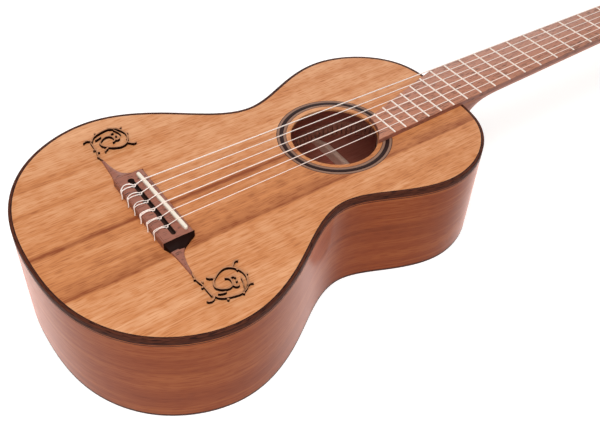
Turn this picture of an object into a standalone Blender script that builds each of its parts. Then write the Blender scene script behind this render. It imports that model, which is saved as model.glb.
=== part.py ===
"""Romantic guitar, as its maker would build it: a shallow figure-of-eight body with a hollow box,
a neck with a slotted head, eighteen frets on a board cut away past the body joint, a tie bridge with
long drawn-out ends and scrolls, six strings, and worm machines that turn the string rollers.

Guitar frame: the back lies on z = 0, +Y runs from the tail to the head, +X is the treble side, and
y = 0 is the line of the saddle. One empty carries that frame to the middle of the instrument's length.
"""

import math

import bmesh
import bpy
import numpy as np
from mathutils import Matrix, Vector

MM = 0.001

# String length and neck
SCALE_LENGTH = 640 * MM
FRET_COUNT = 18
BODY_JOINT_FRET = 12
HALF_WIDTH_NUT = 21 * MM
HALF_WIDTH_JOINT = 28.2 * MM
BOARD_THICKNESS = 4.8 * MM
SHAFT_DEPTH_NUT = 20 * MM
SHAFT_DEPTH_JOINT = 24 * MM
HEEL_DEPTH = 88 * MM
HEEL_LENGTH = 52 * MM
NUT_LENGTH = 5 * MM
NUT_RISE = 0.6 * MM
FRET_HALF_WIDTH = 0.8 * MM
FRET_CROWN = 1 * MM
FRET_INSET = 0.2 * MM
BOARD_CUT_START = SCALE_LENGTH * 2 ** (-BODY_JOINT_FRET / 12) + 2 * MM
BOARD_CUT_END = 221.5 * MM
BOARD_END_RADIUS = 42.6 * MM
BOARD_TREBLE_END = 205 * MM

# Body
BODY_DEPTH = 100 * MM
TAIL_Y = -116 * MM
BODY_END_Y = 323 * MM
HALF_OUTLINE = (
    (0, -116), (60, -108), (110, -76), (138, -5), (112, 66),
    (78, 135), (92, 180), (106.5, 236), (82, 294), (30, 320), (0, 323),
)
OUTLINE_STEPS = 64
PLATE_THICKNESS = 2.5 * MM
RIB_THICKNESS = 2.2 * MM
BINDING_WIDTH = 2.4 * MM
BINDING_HEIGHT = 6 * MM
BACK_BINDING_HEIGHT = 2.5 * MM
LINING_WIDTH = 5.5 * MM
LINING_HEIGHT = 14 * MM
LINING_SLOPE = 6.3 * MM
BLOCK_HALF = 33 * MM
TAIL_BLOCK_LENGTH = 20 * MM
NECK_BLOCK_LENGTH = 58 * MM
TOP_BRACES = tuple(y * MM for y in (248, 112, 40))
BACK_BRACES = tuple(y * MM for y in (232, 112, -20))
BRACE_WIDTH = 6 * MM
BRACE_DEPTH = 13 * MM
BRACE_TIP = 5 * MM
BRACE_SCOOP = 22 * MM
BRACE_ROUNDING = 2 * MM
GLUE_LINE = 0.1 * MM
FIT = 0.3 * MM
FLAT_ANGLE = math.radians(0.1)

# Soundhole and rosette
HOLE_Y = 179 * MM
HOLE_RADIUS = 40.4 * MM
ROSETTE_INNER = 44.2 * MM
ROSETTE_OUTER = 53.6 * MM
ROSETTE_DEPTH = 0.9 * MM

# Bridge
BRIDGE_HALF = 44 * MM
BRIDGE_FRONT = 7 * MM
BRIDGE_REAR = -21 * MM
BRIDGE_HEIGHT = 7.4 * MM
SADDLE_Y = 1 * MM
SADDLE_THICKNESS = 3.4 * MM
SADDLE_HALF = 40 * MM
SADDLE_SEAT = 2.5 * MM
BRIDGE_ROUNDING = 2.2 * MM
TIE_SLOT_FRONT = -6.7 * MM
TIE_SLOT_REAR = -9.4 * MM
TIE_SLOT_DEPTH = 5 * MM
TIE_SLOT_HALF = 39 * MM
TIE_SLOT_MIDDLE = -3 * MM
TIE_RECESS_RADIUS = 3.2 * MM
TIE_HOLE_HEIGHT = 3.4 * MM
TIE_HOLE_RADIUS = 1 * MM
TIE_HOLE_LENGTH = 15 * MM
WHISKER_TIP = 85 * MM
WHISKER_HEIGHT = 2 * MM
WHISKER_SECTIONS = 9
WHISKER_FRONT = (6.2 * MM, -13.2 * MM)
WHISKER_REAR = (-20.5 * MM, -14.5 * MM)
WHISKER_ROOT_HEIGHT = 6.2 * MM
SCROLL_HEIGHT = 1.5 * MM
SCROLL_HALF_WIDTHS = (0.8 * MM, 0.5 * MM)
VINE_STEPS = 40
LEAF_STEPS = 3
VINE = (
    (80, -14.2), (93, -14.4), (105, -12.6), (110.7, -7.5), (114, 0), (114.4, 7), (109, 14.8), (97.5, 18.2),
    (88.6, 14.2), (86, 6), (90, -2), (99.6, -6.8), (105.2, -0.8), (103, 5.8), (96.6, 4.6), (95, 2.4),
)
LEAVES = (
    ((105, -12.6), (109.2, -14.8), (107, -19.2)),
    ((91, -3.4), (88.6, -6), (86.8, -7.6)),
    ((106.2, -11.6), (106.6, -6.4), (108.5, -1.8)),
    ((88.8, 14.4), (85.5, 17.8), (83.6, 21.6)),
    ((109.2, 14.6), (109.9, 17), (111.5, 20.3)),
    ((103, 5.6), (105.8, 6.6), (106.6, 9.2)),
    ((97.2, 5), (95.6, 8), (97.7, 12.8)),
)

# Strings, first to sixth
STRING_DIAMETERS = tuple(d * MM for d in (0.72, 0.84, 1.04, 0.78, 0.92, 1.12))
SPACING_SADDLE = 13.3 * MM
SPACING_NUT = 7 * MM
STRING_HEIGHT_SADDLE = 10.2 * MM
STRING_HEIGHT_NUT = 6.4 * MM

# Head, in its own frame: u along the head from the nut, n square to its face
HEAD_TILT = math.radians(14)
HEAD_LENGTH = 168 * MM
HEAD_HALF = 32 * MM
HEAD_THICKNESS = 19 * MM
SHOULDER_RADIUS = 9 * MM
SHOULDER_START = HEAD_LENGTH - 22 * MM
ARCH_HALF = 16 * MM
ARCH_RISE = 10 * MM
SLOT_INNER = 8.5 * MM
SLOT_OUTER = 21.5 * MM
SLOT_START = 22 * MM
SLOT_END = 134 * MM

# Machine heads
ROLLER_STATIONS = tuple(u * MM for u in (42, 77, 112))
ROLLER_DEPTH = 9.5 * MM
ROLLER_RADIUS = 4.8 * MM
ROLLER_SEAT = 2.2 * MM
ROLLER_SIDES = 12
JOURNAL_RADIUS = 3 * MM
MACHINE_PLATE = 1.2 * MM
PLATE_HALF = 8 * MM
PLATE_START = ROLLER_STATIONS[0] - 18 * MM
PLATE_END = ROLLER_STATIONS[-1] + 16 * MM
LUG_RADIUS = 3.2 * MM
LUG_REACH = 6.5 * MM
LUG_HALF = 1.1 * MM
GEAR_TEETH = 14
GEAR_MODULE = 0.8 * MM
GEAR_WIDTH = 3 * MM
ADDENDUM = 0.7 * MM
GEAR_DEDENDUM = 1 * MM
GEAR_TOOTH_HALVES = (0.75 * MM, 0.28 * MM)
WORM_RADIUS = 3 * MM
WORM_DEDENDUM = 0.9 * MM
WORM_HALF_LENGTH = 5 * MM
THREAD_HALVES = (0.78 * MM, 0.25 * MM)
WORM_TURNS = 3
WORM_SIDES = 8
WORM_TO_PLATE = 4.2 * MM
SHAFT_RADIUS = 1.9 * MM
COLLAR_RADIUS = 3 * MM
BUTTON_HALVES = (4.2 * MM, 8 * MM, 9.5 * MM)
BUTTON_DROP = 6 * MM
WINDING_TURNS = 2
WINDING_STEPS = 24
WINDING_GAP = 0.55 * MM
WINDING_LANDINGS = tuple(x * MM for x in (18.6, 16.2, 15.4))

LEAD = math.pi * GEAR_MODULE
GEAR_RADIUS = GEAR_TEETH * GEAR_MODULE / 2
CENTRE_DISTANCE = GEAR_RADIUS + WORM_RADIUS
TOP_Z = BODY_DEPTH
HEAD_Y = SCALE_LENGTH + NUT_LENGTH
OVERALL_LENGTH = HEAD_Y + HEAD_LENGTH * math.cos(HEAD_TILT) - TAIL_Y
GEAR_MIDDLE = HEAD_HALF + FIT + MACHINE_PLATE + WORM_TO_PLATE


def colour(hex_code):
    """A material's linear colour from the sRGB code that it is known by."""
    channels = [int(hex_code[i:i + 2], 16) / 255 for i in (1, 3, 5)]
    return [c / 12.92 if c <= 0.04045 else ((c + 0.055) / 1.055) ** 2.4 for c in channels] + [1]


def new_material(name, hex_code, roughness, metallic=0.0):
    material = bpy.data.materials.new(name)
    material.use_nodes = True
    material.diffuse_color = colour(hex_code)
    shader = material.node_tree.nodes["Principled BSDF"]
    shader.inputs["Base Color"].default_value = colour(hex_code)
    shader.inputs["Roughness"].default_value = roughness
    shader.inputs["Metallic"].default_value = metallic
    return material


def clear_scene():
    for thing in list(bpy.data.objects):
        bpy.data.objects.remove(thing, do_unlink=True)


def add_empty(name, location, tilt=0.0, parent=None):
    empty = bpy.data.objects.new(name, None)
    empty.location = location
    empty.rotation_euler = (tilt, 0, 0)
    empty.parent = parent
    bpy.context.scene.collection.objects.link(empty)
    return empty


def mesh_of(shape, name):
    """A mesh from a bmesh, with its faces turned outwards and its round parts shaded smooth."""
    bmesh.ops.recalc_face_normals(shape, faces=shape.faces)
    mesh = bpy.data.meshes.new(name)
    shape.to_mesh(mesh)
    shape.free()
    mesh.shade_smooth()
    mesh.set_sharp_from_angle(angle=math.radians(35))
    return mesh


def add_part(name, shape, material, parent, location=(0, 0, 0)):
    """One piece of the instrument, from a bmesh or from a mesh that another piece has too."""
    mesh = mesh_of(shape, name) if isinstance(shape, bmesh.types.BMesh) else shape
    if not mesh.materials:
        mesh.materials.append(material)
    part = bpy.data.objects.new(name, mesh)
    part.location = location
    part.parent = parent
    bpy.context.scene.collection.objects.link(part)
    return part


def combine(body, tool, operation):
    """The bmesh left when the tool is joined to the body or cut from it."""
    holders = []
    for shape in (body, tool):
        holder = bpy.data.objects.new("work", mesh_of(shape, "work"))
        bpy.context.scene.collection.objects.link(holder)
        holders.append(holder)
    modifier = holders[0].modifiers.new("combine", "BOOLEAN")
    modifier.operation = operation
    modifier.object = holders[1]
    graph = bpy.context.evaluated_depsgraph_get()
    evaluated = holders[0].evaluated_get(graph)
    result = bmesh.new()
    result.from_mesh(evaluated.to_mesh())
    evaluated.to_mesh_clear()
    for holder in holders:
        mesh = holder.data
        bpy.data.objects.remove(holder)
        bpy.data.meshes.remove(mesh)
    bmesh.ops.remove_doubles(result, verts=result.verts, dist=0.005 * MM)
    bmesh.ops.dissolve_degenerate(result, edges=result.edges, dist=0.005 * MM)
    bmesh.ops.dissolve_limit(
        result, angle_limit=FLAT_ANGLE, verts=result.verts, edges=result.edges, use_dissolve_boundaries=False,
    )
    return result


def prism(outline, low, high, axis="Z"):
    """A closed prism on a flat outline, along Z, or along X or Y with the outline's first value first."""
    shape = bmesh.new()
    place = {
        "X": lambda a, b: (low, a, b),
        "Y": lambda a, b: (a, low, b),
        "Z": lambda a, b: (a, b, low),
    }[axis]
    along = {"X": Vector((1, 0, 0)), "Y": Vector((0, 1, 0)), "Z": Vector((0, 0, 1))}[axis]
    face = shape.faces.new([shape.verts.new(place(a, b)) for a, b in outline])
    extruded = bmesh.ops.extrude_face_region(shape, geom=[face], use_keep_orig=True)
    far_verts = [item for item in extruded["geom"] if isinstance(item, bmesh.types.BMVert)]
    bmesh.ops.translate(shape, verts=far_verts, vec=along * (high - low))
    return shape


def box(low, high):
    corners = [(low[0], low[1]), (high[0], low[1]), (high[0], high[1]), (low[0], high[1])]
    return prism(corners, low[2], high[2])


def loft(sections, closed=False):
    """A solid through sections of equally many points; capped at both ends unless the loft is a ring."""
    shape = bmesh.new()
    loops = [[shape.verts.new(p) for p in section] for section in sections]
    pairs = list(zip(loops, loops[1:]))
    if closed:
        pairs.append((loops[-1], loops[0]))
    else:
        shape.faces.new(loops[0])
        shape.faces.new(loops[-1])
    for first, second in pairs:
        for i in range(len(first)):
            j = (i + 1) % len(first)
            shape.faces.new((first[i], first[j], second[j], second[i]))
    return shape


def turned(profile, sides, axis="Z"):
    """A turned solid: (distance along the axis, radius) pairs spun about the axis, closed on it."""
    shape = bmesh.new()
    ends = [(profile[0][0], 0.0)] + list(profile) + [(profile[-1][0], 0.0)]
    verts = [shape.verts.new((r, 0, z)) for z, r in ends]
    edges = [shape.edges.new(pair) for pair in zip(verts, verts[1:])]
    bmesh.ops.spin(
        shape, geom=verts + edges, cent=(0, 0, 0), axis=(0, 0, 1),
        angle=math.tau, steps=sides, use_merge=True,
    )
    bmesh.ops.remove_doubles(shape, verts=shape.verts, dist=0.001 * MM)
    if axis == "X":
        bmesh.ops.rotate(shape, verts=shape.verts, matrix=Matrix.Rotation(math.pi / 2, 3, "Y"))
    if axis == "Y":
        bmesh.ops.rotate(shape, verts=shape.verts, matrix=Matrix.Rotation(-math.pi / 2, 3, "X"))
    return shape


def moved(shape, offset):
    bmesh.ops.translate(shape, verts=shape.verts, vec=offset)
    return shape


def mirrored(shape):
    """The same shape on the other side of the centre line."""
    bmesh.ops.scale(shape, verts=shape.verts, vec=(-1, 1, 1))
    bmesh.ops.reverse_faces(shape, faces=shape.faces)
    return shape


def chamfer(shape, edges, width):
    bmesh.ops.bevel(shape, geom=edges, offset=width, segments=1, affect="EDGES", profile=0.5, material=-1)


def smooth_curve(stations, steps, closed):
    """Points at equal steps along the cubic spline through the stations, spaced by chord."""
    points = np.array(stations, float)
    last = np.roll(points, -1, axis=0)
    gaps = np.linalg.norm(last - points, axis=1)
    count = len(points)
    system = np.zeros((count, count))
    pull = np.zeros_like(points)
    for i in range(count):
        before, after = gaps[i - 1], gaps[i]
        into = (points[i] - points[i - 1]) / before
        out = (last[i] - points[i]) / after
        if not closed and i in (0, count - 1):
            system[i, i] = 2
            system[i, 1 if i == 0 else i - 1] = 1
            pull[i] = 3 * (out if i == 0 else into)
            continue
        system[i, i - 1] += after
        system[i, i] += 2 * (before + after)
        system[i, (i + 1) % count] += before
        pull[i] = 3 * (after * into + before * out)
    slopes = np.linalg.solve(system, pull)
    fine = []
    for i in range(count if closed else count - 1):
        j = (i + 1) % count
        for t in np.linspace(0, 1, 24, endpoint=False):
            fine.append(
                (2 * t**3 - 3 * t**2 + 1) * points[i] + (t**3 - 2 * t**2 + t) * gaps[i] * slopes[i]
                + (3 * t**2 - 2 * t**3) * points[j] + (t**3 - t**2) * gaps[i] * slopes[j]
            )
    fine.append(points[0] if closed else points[-1])
    fine = np.array(fine)
    run = np.concatenate([[0], np.cumsum(np.linalg.norm(np.diff(fine, axis=0), axis=1))])
    places = np.linspace(0, run[-1], steps + 1)
    even = np.stack([np.interp(places, run, fine[:, k]) for k in range(fine.shape[1])], axis=1)
    return even[:-1] if closed else even


def body_outline(inset=0.0):
    """The body's outline from the tail round the treble side, drawn in by the inset."""
    half = [(x * MM, y * MM) for x, y in HALF_OUTLINE]
    loop = half + [(-x, y) for x, y in half[-2:0:-1]]
    points = smooth_curve(loop, OUTLINE_STEPS, closed=True)
    along = np.roll(points, -1, axis=0) - np.roll(points, 1, axis=0)
    along /= np.linalg.norm(along, axis=1)[:, None]
    inward = np.stack([-along[:, 1], along[:, 0]], axis=1)
    return points + inward * inset


def half_width(y, inset):
    """Half the body's inner width across the strings at y."""
    side = body_outline(inset)[: OUTLINE_STEPS // 2 + 1]
    return float(np.interp(y, side[:, 1], side[:, 0]))


def ring(outer, inner, low, high, slope_low=0.0, slope_high=0.0):
    """A rim between two outlines; a slope draws in that end of its inner face, as on a lining."""
    sections = []
    for a, b in zip(outer, inner):
        free_face = ((b[0], b[1], high - slope_high), (b[0], b[1], low + slope_low))
        sections.append(((a[0], a[1], low), (a[0], a[1], high), *free_face))
    return loft(sections, closed=True)


def circle(radius, steps, centre=(0.0, 0.0)):
    angles = [math.tau * k / steps for k in range(steps)]
    return [(centre[0] + radius * math.cos(a), centre[1] + radius * math.sin(a)) for a in angles]


def obround(half_length, half_thickness, centre, steps=6):
    """A slot's outline, long along X, with round ends."""
    reach = half_length - half_thickness
    points = []
    for side, start in ((1, -math.pi / 2), (-1, math.pi / 2)):
        for k in range(steps + 1):
            angle = start + math.pi * k / steps
            points.append((
                centre[0] + side * reach + half_thickness * math.cos(angle),
                centre[1] + half_thickness * math.sin(angle),
            ))
    return points


def fret_y(number):
    return SCALE_LENGTH * 2 ** (-number / 12)


def board_half_width(y):
    joint = fret_y(BODY_JOINT_FRET)
    share = (y - joint) / (SCALE_LENGTH - joint)
    return HALF_WIDTH_JOINT + (HALF_WIDTH_NUT - HALF_WIDTH_JOINT) * share


def board_bass_edge(y):
    """The board's bass edge, which runs slantwise to the middle past the body joint."""
    if y >= BOARD_CUT_START:
        return -board_half_width(y)
    share = (y - BOARD_CUT_END) / (BOARD_CUT_START - BOARD_CUT_END)
    return -board_half_width(BOARD_CUT_START) * share


def build_body(finishes, guitar):
    """The box: two thin plates, ribs in two halves, bindings, linings, blocks and ladder braces."""
    wood = finishes["plates"]
    inner = BINDING_WIDTH + GLUE_LINE
    soundboard = prism(body_outline(inner), TOP_Z - PLATE_THICKNESS, TOP_Z)
    hole = prism(circle(HOLE_RADIUS, 48, (0, HOLE_Y)), TOP_Z - 2 * PLATE_THICKNESS, TOP_Z + FIT)
    soundboard = combine(soundboard, hole, "DIFFERENCE")
    channel = ring(
        circle(ROSETTE_OUTER, 48, (0, HOLE_Y)), circle(ROSETTE_INNER, 48, (0, HOLE_Y)),
        TOP_Z - ROSETTE_DEPTH, TOP_Z + FIT,
    )
    add_part("soundboard", combine(soundboard, channel, "DIFFERENCE"), wood, guitar)
    edge_outer = circle(ROSETTE_OUTER - GLUE_LINE, 48, (0, HOLE_Y))
    edge_inner = circle(ROSETTE_INNER + GLUE_LINE, 48, (0, HOLE_Y))
    rosette = ring(edge_outer, edge_inner, TOP_Z - ROSETTE_DEPTH + GLUE_LINE, TOP_Z)
    add_part("rosette", rosette, finishes["rosette"], guitar)
    add_part("back", prism(body_outline(inner), 0, PLATE_THICKNESS), finishes["ribs"], guitar)
    build_rims(finishes, guitar)
    build_blocks(finishes, guitar)
    build_braces(finishes, guitar)


def build_rims(finishes, guitar):
    """The ribs, the bindings let into their edges and the linings glued inside them."""
    low = BACK_BINDING_HEIGHT + GLUE_LINE
    top = TOP_Z - BINDING_HEIGHT - GLUE_LINE
    outer = body_outline()
    inner = body_outline(RIB_THICKNESS)
    half = OUTLINE_STEPS // 2
    for name, side, picked in (
        ("rib_treble", 1, list(range(half + 1))),
        ("rib_bass", -1, list(range(half, OUTLINE_STEPS)) + [0]),
    ):
        sections = []
        for i in picked:
            a, b = outer[i], inner[i]
            if i in (0, half):
                a, b = (side * GLUE_LINE, a[1]), (side * GLUE_LINE, b[1])
            sections.append(((a[0], a[1], low), (a[0], a[1], top), (b[0], b[1], top), (b[0], b[1], low)))
        add_part(name, loft(sections), finishes["ribs"], guitar)
    let_in = body_outline(BINDING_WIDTH)
    add_part("binding_back", ring(outer, let_in, 0, BACK_BINDING_HEIGHT), finishes["binding"], guitar)
    binding = ring(outer, let_in, TOP_Z - BINDING_HEIGHT, TOP_Z)
    add_part("binding_top", binding, finishes["binding"], guitar)
    against = body_outline(BINDING_WIDTH + FIT)
    free_edge = body_outline(BINDING_WIDTH + FIT + LINING_WIDTH)
    high = TOP_Z - PLATE_THICKNESS - GLUE_LINE
    upper = ring(against, free_edge, high - LINING_HEIGHT, high, slope_low=LINING_SLOPE)
    add_part("lining_top", upper, finishes["lining"], guitar)
    base = PLATE_THICKNESS + GLUE_LINE
    lower = ring(against, free_edge, base, base + LINING_HEIGHT, slope_high=LINING_SLOPE)
    add_part("lining_back", lower, finishes["lining"], guitar)


def build_blocks(finishes, guitar):
    """The neck and tail blocks, notched for the linings."""
    inside = BINDING_WIDTH + FIT
    clear = body_outline(inside + LINING_WIDTH + FIT)
    beyond = body_outline(-5 * MM)
    low, high = PLATE_THICKNESS + GLUE_LINE, TOP_Z - PLATE_THICKNESS - GLUE_LINE
    for name, y_from, y_to in (
        ("tail_block", TAIL_Y - FIT, TAIL_Y + TAIL_BLOCK_LENGTH),
        ("neck_block", BODY_END_Y - NECK_BLOCK_LENGTH, BODY_END_Y + FIT),
    ):
        block = box((-BLOCK_HALF, y_from, low), (BLOCK_HALF, y_to, high))
        block = combine(block, prism(body_outline(inside), 0, TOP_Z), "INTERSECT")
        for z_from, z_to in ((0, low + LINING_HEIGHT + FIT), (high - LINING_HEIGHT - FIT, TOP_Z)):
            block = combine(block, ring(beyond, clear, z_from, z_to), "DIFFERENCE")
        add_part(name, block, finishes["blocks"], guitar)


def build_braces(finishes, guitar):
    """Ladder braces across the soundboard and the back, each rounded down at its ends."""
    clear = BINDING_WIDTH + FIT + LINING_WIDTH + FIT
    for plate, stations, foot, up in (
        ("top", TOP_BRACES, TOP_Z - PLATE_THICKNESS - GLUE_LINE, -1),
        ("back", BACK_BRACES, PLATE_THICKNESS + GLUE_LINE, 1),
    ):
        for number, y in enumerate(stations, 1):
            reach = min(half_width(y + side * BRACE_WIDTH / 2, clear) for side in (-1, 1))
            run = [(reach, 0), (reach, BRACE_TIP), (reach - BRACE_SCOOP, BRACE_DEPTH)]
            run += [(-x, z) for x, z in reversed(run)]
            outline = [(x, foot + up * z) for x, z in run]
            bar = prism(outline, y - BRACE_WIDTH / 2, y + BRACE_WIDTH / 2, axis="Y")
            crest = [
                edge for edge in bar.edges
                if abs(edge.verts[0].co.y - edge.verts[1].co.y) < FIT
                and all(abs(vert.co.z - foot) > BRACE_TIP / 2 for vert in edge.verts)
                and abs(edge.verts[0].co.x - edge.verts[1].co.x) > FIT
            ]
            chamfer(bar, crest, BRACE_ROUNDING)
            add_part(f"{plate}_brace_{number}", bar, finishes["lining"], guitar)


def heel_depth(y):
    """The neck's depth below the soundboard's plane: a shaft that swells into the heel."""
    along = (y - BODY_END_Y) / (SCALE_LENGTH - BODY_END_Y)
    shaft = SHAFT_DEPTH_JOINT + (SHAFT_DEPTH_NUT - SHAFT_DEPTH_JOINT) * along
    swell = max(0.0, 1 - (y - BODY_END_Y) / HEEL_LENGTH)
    return shaft + (HEEL_DEPTH - shaft) * swell**2.2


def head_point(x, u, n):
    """A point of the head's frame in the guitar's frame."""
    cos, sin = math.cos(HEAD_TILT), math.sin(HEAD_TILT)
    return Vector((x, HEAD_Y + u * cos + n * sin, TOP_Z - u * sin + n * cos))


def head_outline():
    """Half the head flares from the nut, runs straight along the slots and ends in a low arch."""
    start = HALF_WIDTH_NUT + FIT
    flare = []
    for t in np.linspace(0, 1, 8):
        flare.append((start + (HEAD_HALF - start) * (3 * t**2 - 2 * t**3), SLOT_START * t))
    shoulder = [
        (HEAD_HALF - SHOULDER_RADIUS * (1 - math.cos(a)), SHOULDER_START + SHOULDER_RADIUS * math.sin(a))
        for a in np.linspace(0, math.pi / 2, 5)
    ]
    arch = [
        (ARCH_HALF * math.cos(a), HEAD_LENGTH - ARCH_RISE + ARCH_RISE * math.sin(a))
        for a in np.linspace(0, math.pi / 2, 6)
    ]
    right = flare + shoulder + arch[:-1]
    return right + [(0.0, HEAD_LENGTH)] + [(-x, u) for x, u in reversed(right)]


def in_head_frame(shape):
    turn = Matrix.Rotation(-HEAD_TILT, 4, "X")
    place = Matrix.Translation((0, HEAD_Y, TOP_Z)) @ turn
    bmesh.ops.transform(shape, verts=shape.verts, matrix=place)
    return shape


def build_neck(finishes, guitar):
    """Shaft, heel and slotted head in one piece of wood, with bores for the string rollers."""
    sections = []
    stations = [BODY_END_Y - 6 * MM] + [BODY_END_Y + s * MM for s in (3, 9, 16, 25, 36, 52, 120, 220)]
    for y in stations + [HEAD_Y + FIT]:
        width = board_half_width(min(y, SCALE_LENGTH))
        depth = heel_depth(max(y, BODY_END_Y))
        sections.append([
            (width * math.cos(a), y, TOP_Z - depth * math.sin(a)) for a in np.linspace(0, math.pi, 15)
        ])
    neck = loft(sections)
    body = prism(body_outline(-GLUE_LINE), -FIT, TOP_Z + FIT)
    neck = combine(neck, body, "DIFFERENCE")
    head = prism(head_outline(), -HEAD_THICKNESS, 0)
    for side in (1, -1):
        middle = side * (SLOT_INNER + SLOT_OUTER) / 2
        half = (SLOT_OUTER - SLOT_INNER) / 2
        across = obround((SLOT_END - SLOT_START) / 2, half, ((SLOT_START + SLOT_END) / 2, 0), steps=5)
        slot = prism([(middle + b, a) for a, b in across], -HEAD_THICKNESS - FIT, FIT)
        head = combine(head, slot, "DIFFERENCE")
        for u in ROLLER_STATIONS:
            around = circle(ROLLER_RADIUS + FIT, ROLLER_SIDES, (u, -ROLLER_DEPTH))
            inner, outer = SLOT_INNER - ROLLER_SEAT - FIT, HEAD_HALF + FIT
            bore = prism(around, min(side * inner, side * outer), max(side * inner, side * outer), axis="X")
            head = combine(head, bore, "DIFFERENCE")
    neck = combine(neck, in_head_frame(head), "UNION")
    add_part("neck", neck, finishes["neck"], guitar)


def build_board(finishes, guitar):
    """The fingerboard, its frets and the nut."""
    end_angle = math.acos(board_half_width(BOARD_TREBLE_END) / BOARD_END_RADIUS)
    outline = [(-HALF_WIDTH_NUT, SCALE_LENGTH), (board_bass_edge(BOARD_CUT_START), BOARD_CUT_START)]
    outline += [
        (BOARD_END_RADIUS * math.cos(a), HOLE_Y + BOARD_END_RADIUS * math.sin(a))
        for a in np.linspace(math.pi / 2, end_angle, 7)
    ]
    outline.append((HALF_WIDTH_NUT, SCALE_LENGTH))
    low = TOP_Z + GLUE_LINE
    high = TOP_Z + BOARD_THICKNESS
    add_part("fretboard", prism(outline, low, high), finishes["rosewood"], guitar)
    crown = [
        (FRET_HALF_WIDTH * math.cos(a), high + GLUE_LINE + FRET_CROWN * math.sin(a))
        for a in np.linspace(0, math.pi, 7)
    ]
    for number in range(1, FRET_COUNT + 1):
        y = fret_y(number)
        profile = [(y + a, b) for a, b in crown]
        left, right = board_bass_edge(y) + FRET_INSET, board_half_width(y) - FRET_INSET
        add_part(f"fret_{number:02d}", prism(profile, left, right, axis="X"), finishes["fret"], guitar)
    nut = box(
        (-HALF_WIDTH_NUT, SCALE_LENGTH + GLUE_LINE, TOP_Z + GLUE_LINE),
        (HALF_WIDTH_NUT, HEAD_Y - GLUE_LINE, TOP_Z + STRING_HEIGHT_NUT + NUT_RISE),
    )
    for index, diameter in enumerate(STRING_DIAMETERS):
        x = string_x(index, SPACING_NUT)
        half = diameter / 2 + FIT
        floor = TOP_Z + STRING_HEIGHT_NUT - half
        notch = box((x - half, SCALE_LENGTH - FIT, floor), (x + half, HEAD_Y + FIT, floor + 4 * MM))
        nut = combine(nut, notch, "DIFFERENCE")
    add_part("nut", nut, finishes["bone"], guitar)


def string_x(index, spacing):
    """The first string is on the treble side."""
    return (2.5 - index) * spacing


def scroll_ribbon(stations, steps, lowered=0.0):
    """A carved ribbon of the scroll, thinning along its route; leaves are lowered a little under the vine."""
    line = smooth_curve([(x * MM, y * MM) for x, y in stations], steps, closed=False)
    along = np.gradient(line, axis=0)
    along /= np.linalg.norm(along, axis=1)[:, None]
    across = np.stack([-along[:, 1], along[:, 0]], axis=1)
    low = TOP_Z + GLUE_LINE + lowered / 2
    high = TOP_Z + SCROLL_HEIGHT - lowered
    sections = []
    for point, side, half in zip(line, across, np.linspace(*SCROLL_HALF_WIDTHS, len(line))):
        a, b = point - side * half, point + side * half
        sections.append(((a[0], a[1], low), (b[0], b[1], low), (b[0], b[1], high), (a[0], a[1], high)))
    return loft(sections)


def build_bridge(finishes, guitar):
    """Tie bridge: block, saddle slot, tie slot with a hole for each string, whiskers and scrolls."""
    low = TOP_Z + GLUE_LINE
    block = box((-BRIDGE_HALF, BRIDGE_REAR, low), (BRIDGE_HALF, BRIDGE_FRONT, TOP_Z + BRIDGE_HEIGHT))
    crest = TOP_Z + BRIDGE_HEIGHT
    front = [
        edge for edge in block.edges
        if all(abs(v.co.y - BRIDGE_FRONT) < FIT and abs(v.co.z - crest) < FIT for v in edge.verts)
    ]
    chamfer(block, front, BRIDGE_ROUNDING)
    for side in (1, -1):
        end = combine(build_whisker(), scroll_ribbon(VINE, VINE_STEPS), "UNION")
        for leaf in LEAVES:
            end = combine(end, scroll_ribbon(leaf, LEAF_STEPS, lowered=GLUE_LINE), "UNION")
        block = combine(block, end if side > 0 else mirrored(end), "UNION")
    saddle_slot = obround(SADDLE_HALF + FIT, SADDLE_THICKNESS / 2 + FIT, (0, SADDLE_Y), steps=4)
    block = combine(block, prism(saddle_slot, TOP_Z + SADDLE_SEAT, TOP_Z + 2 * BRIDGE_HEIGHT), "DIFFERENCE")
    middle = (TIE_SLOT_MIDDLE, (TIE_SLOT_FRONT + TIE_SLOT_REAR) / 2)
    slot = obround(TIE_SLOT_HALF, (TIE_SLOT_FRONT - TIE_SLOT_REAR) / 2, middle, steps=4)
    floor = TOP_Z + BRIDGE_HEIGHT - TIE_SLOT_DEPTH
    block = combine(block, prism(slot, floor, TOP_Z + 2 * BRIDGE_HEIGHT), "DIFFERENCE")
    for index in range(len(STRING_DIAMETERS)):
        x = string_x(index, SPACING_SADDLE)
        around = circle(TIE_RECESS_RADIUS, 12, (x, TIE_SLOT_REAR + FIT))
        block = combine(block, prism(around, floor, TOP_Z + 2 * BRIDGE_HEIGHT), "DIFFERENCE")
        bore = turned([(0, TIE_HOLE_RADIUS), (TIE_HOLE_LENGTH, TIE_HOLE_RADIUS)], 8, axis="Y")
        bore = moved(bore, (x, BRIDGE_REAR - FIT, TOP_Z + TIE_HOLE_HEIGHT))
        block = combine(block, bore, "DIFFERENCE")
    add_part("bridge", block, finishes["rosewood"], guitar)
    saddle = prism(
        obround(SADDLE_HALF, SADDLE_THICKNESS / 2, (0, SADDLE_Y), steps=4),
        TOP_Z + SADDLE_SEAT + GLUE_LINE, TOP_Z + STRING_HEIGHT_SADDLE - max(STRING_DIAMETERS) / 2 - FIT,
    )
    add_part("saddle", saddle, finishes["bone"], guitar)


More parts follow.
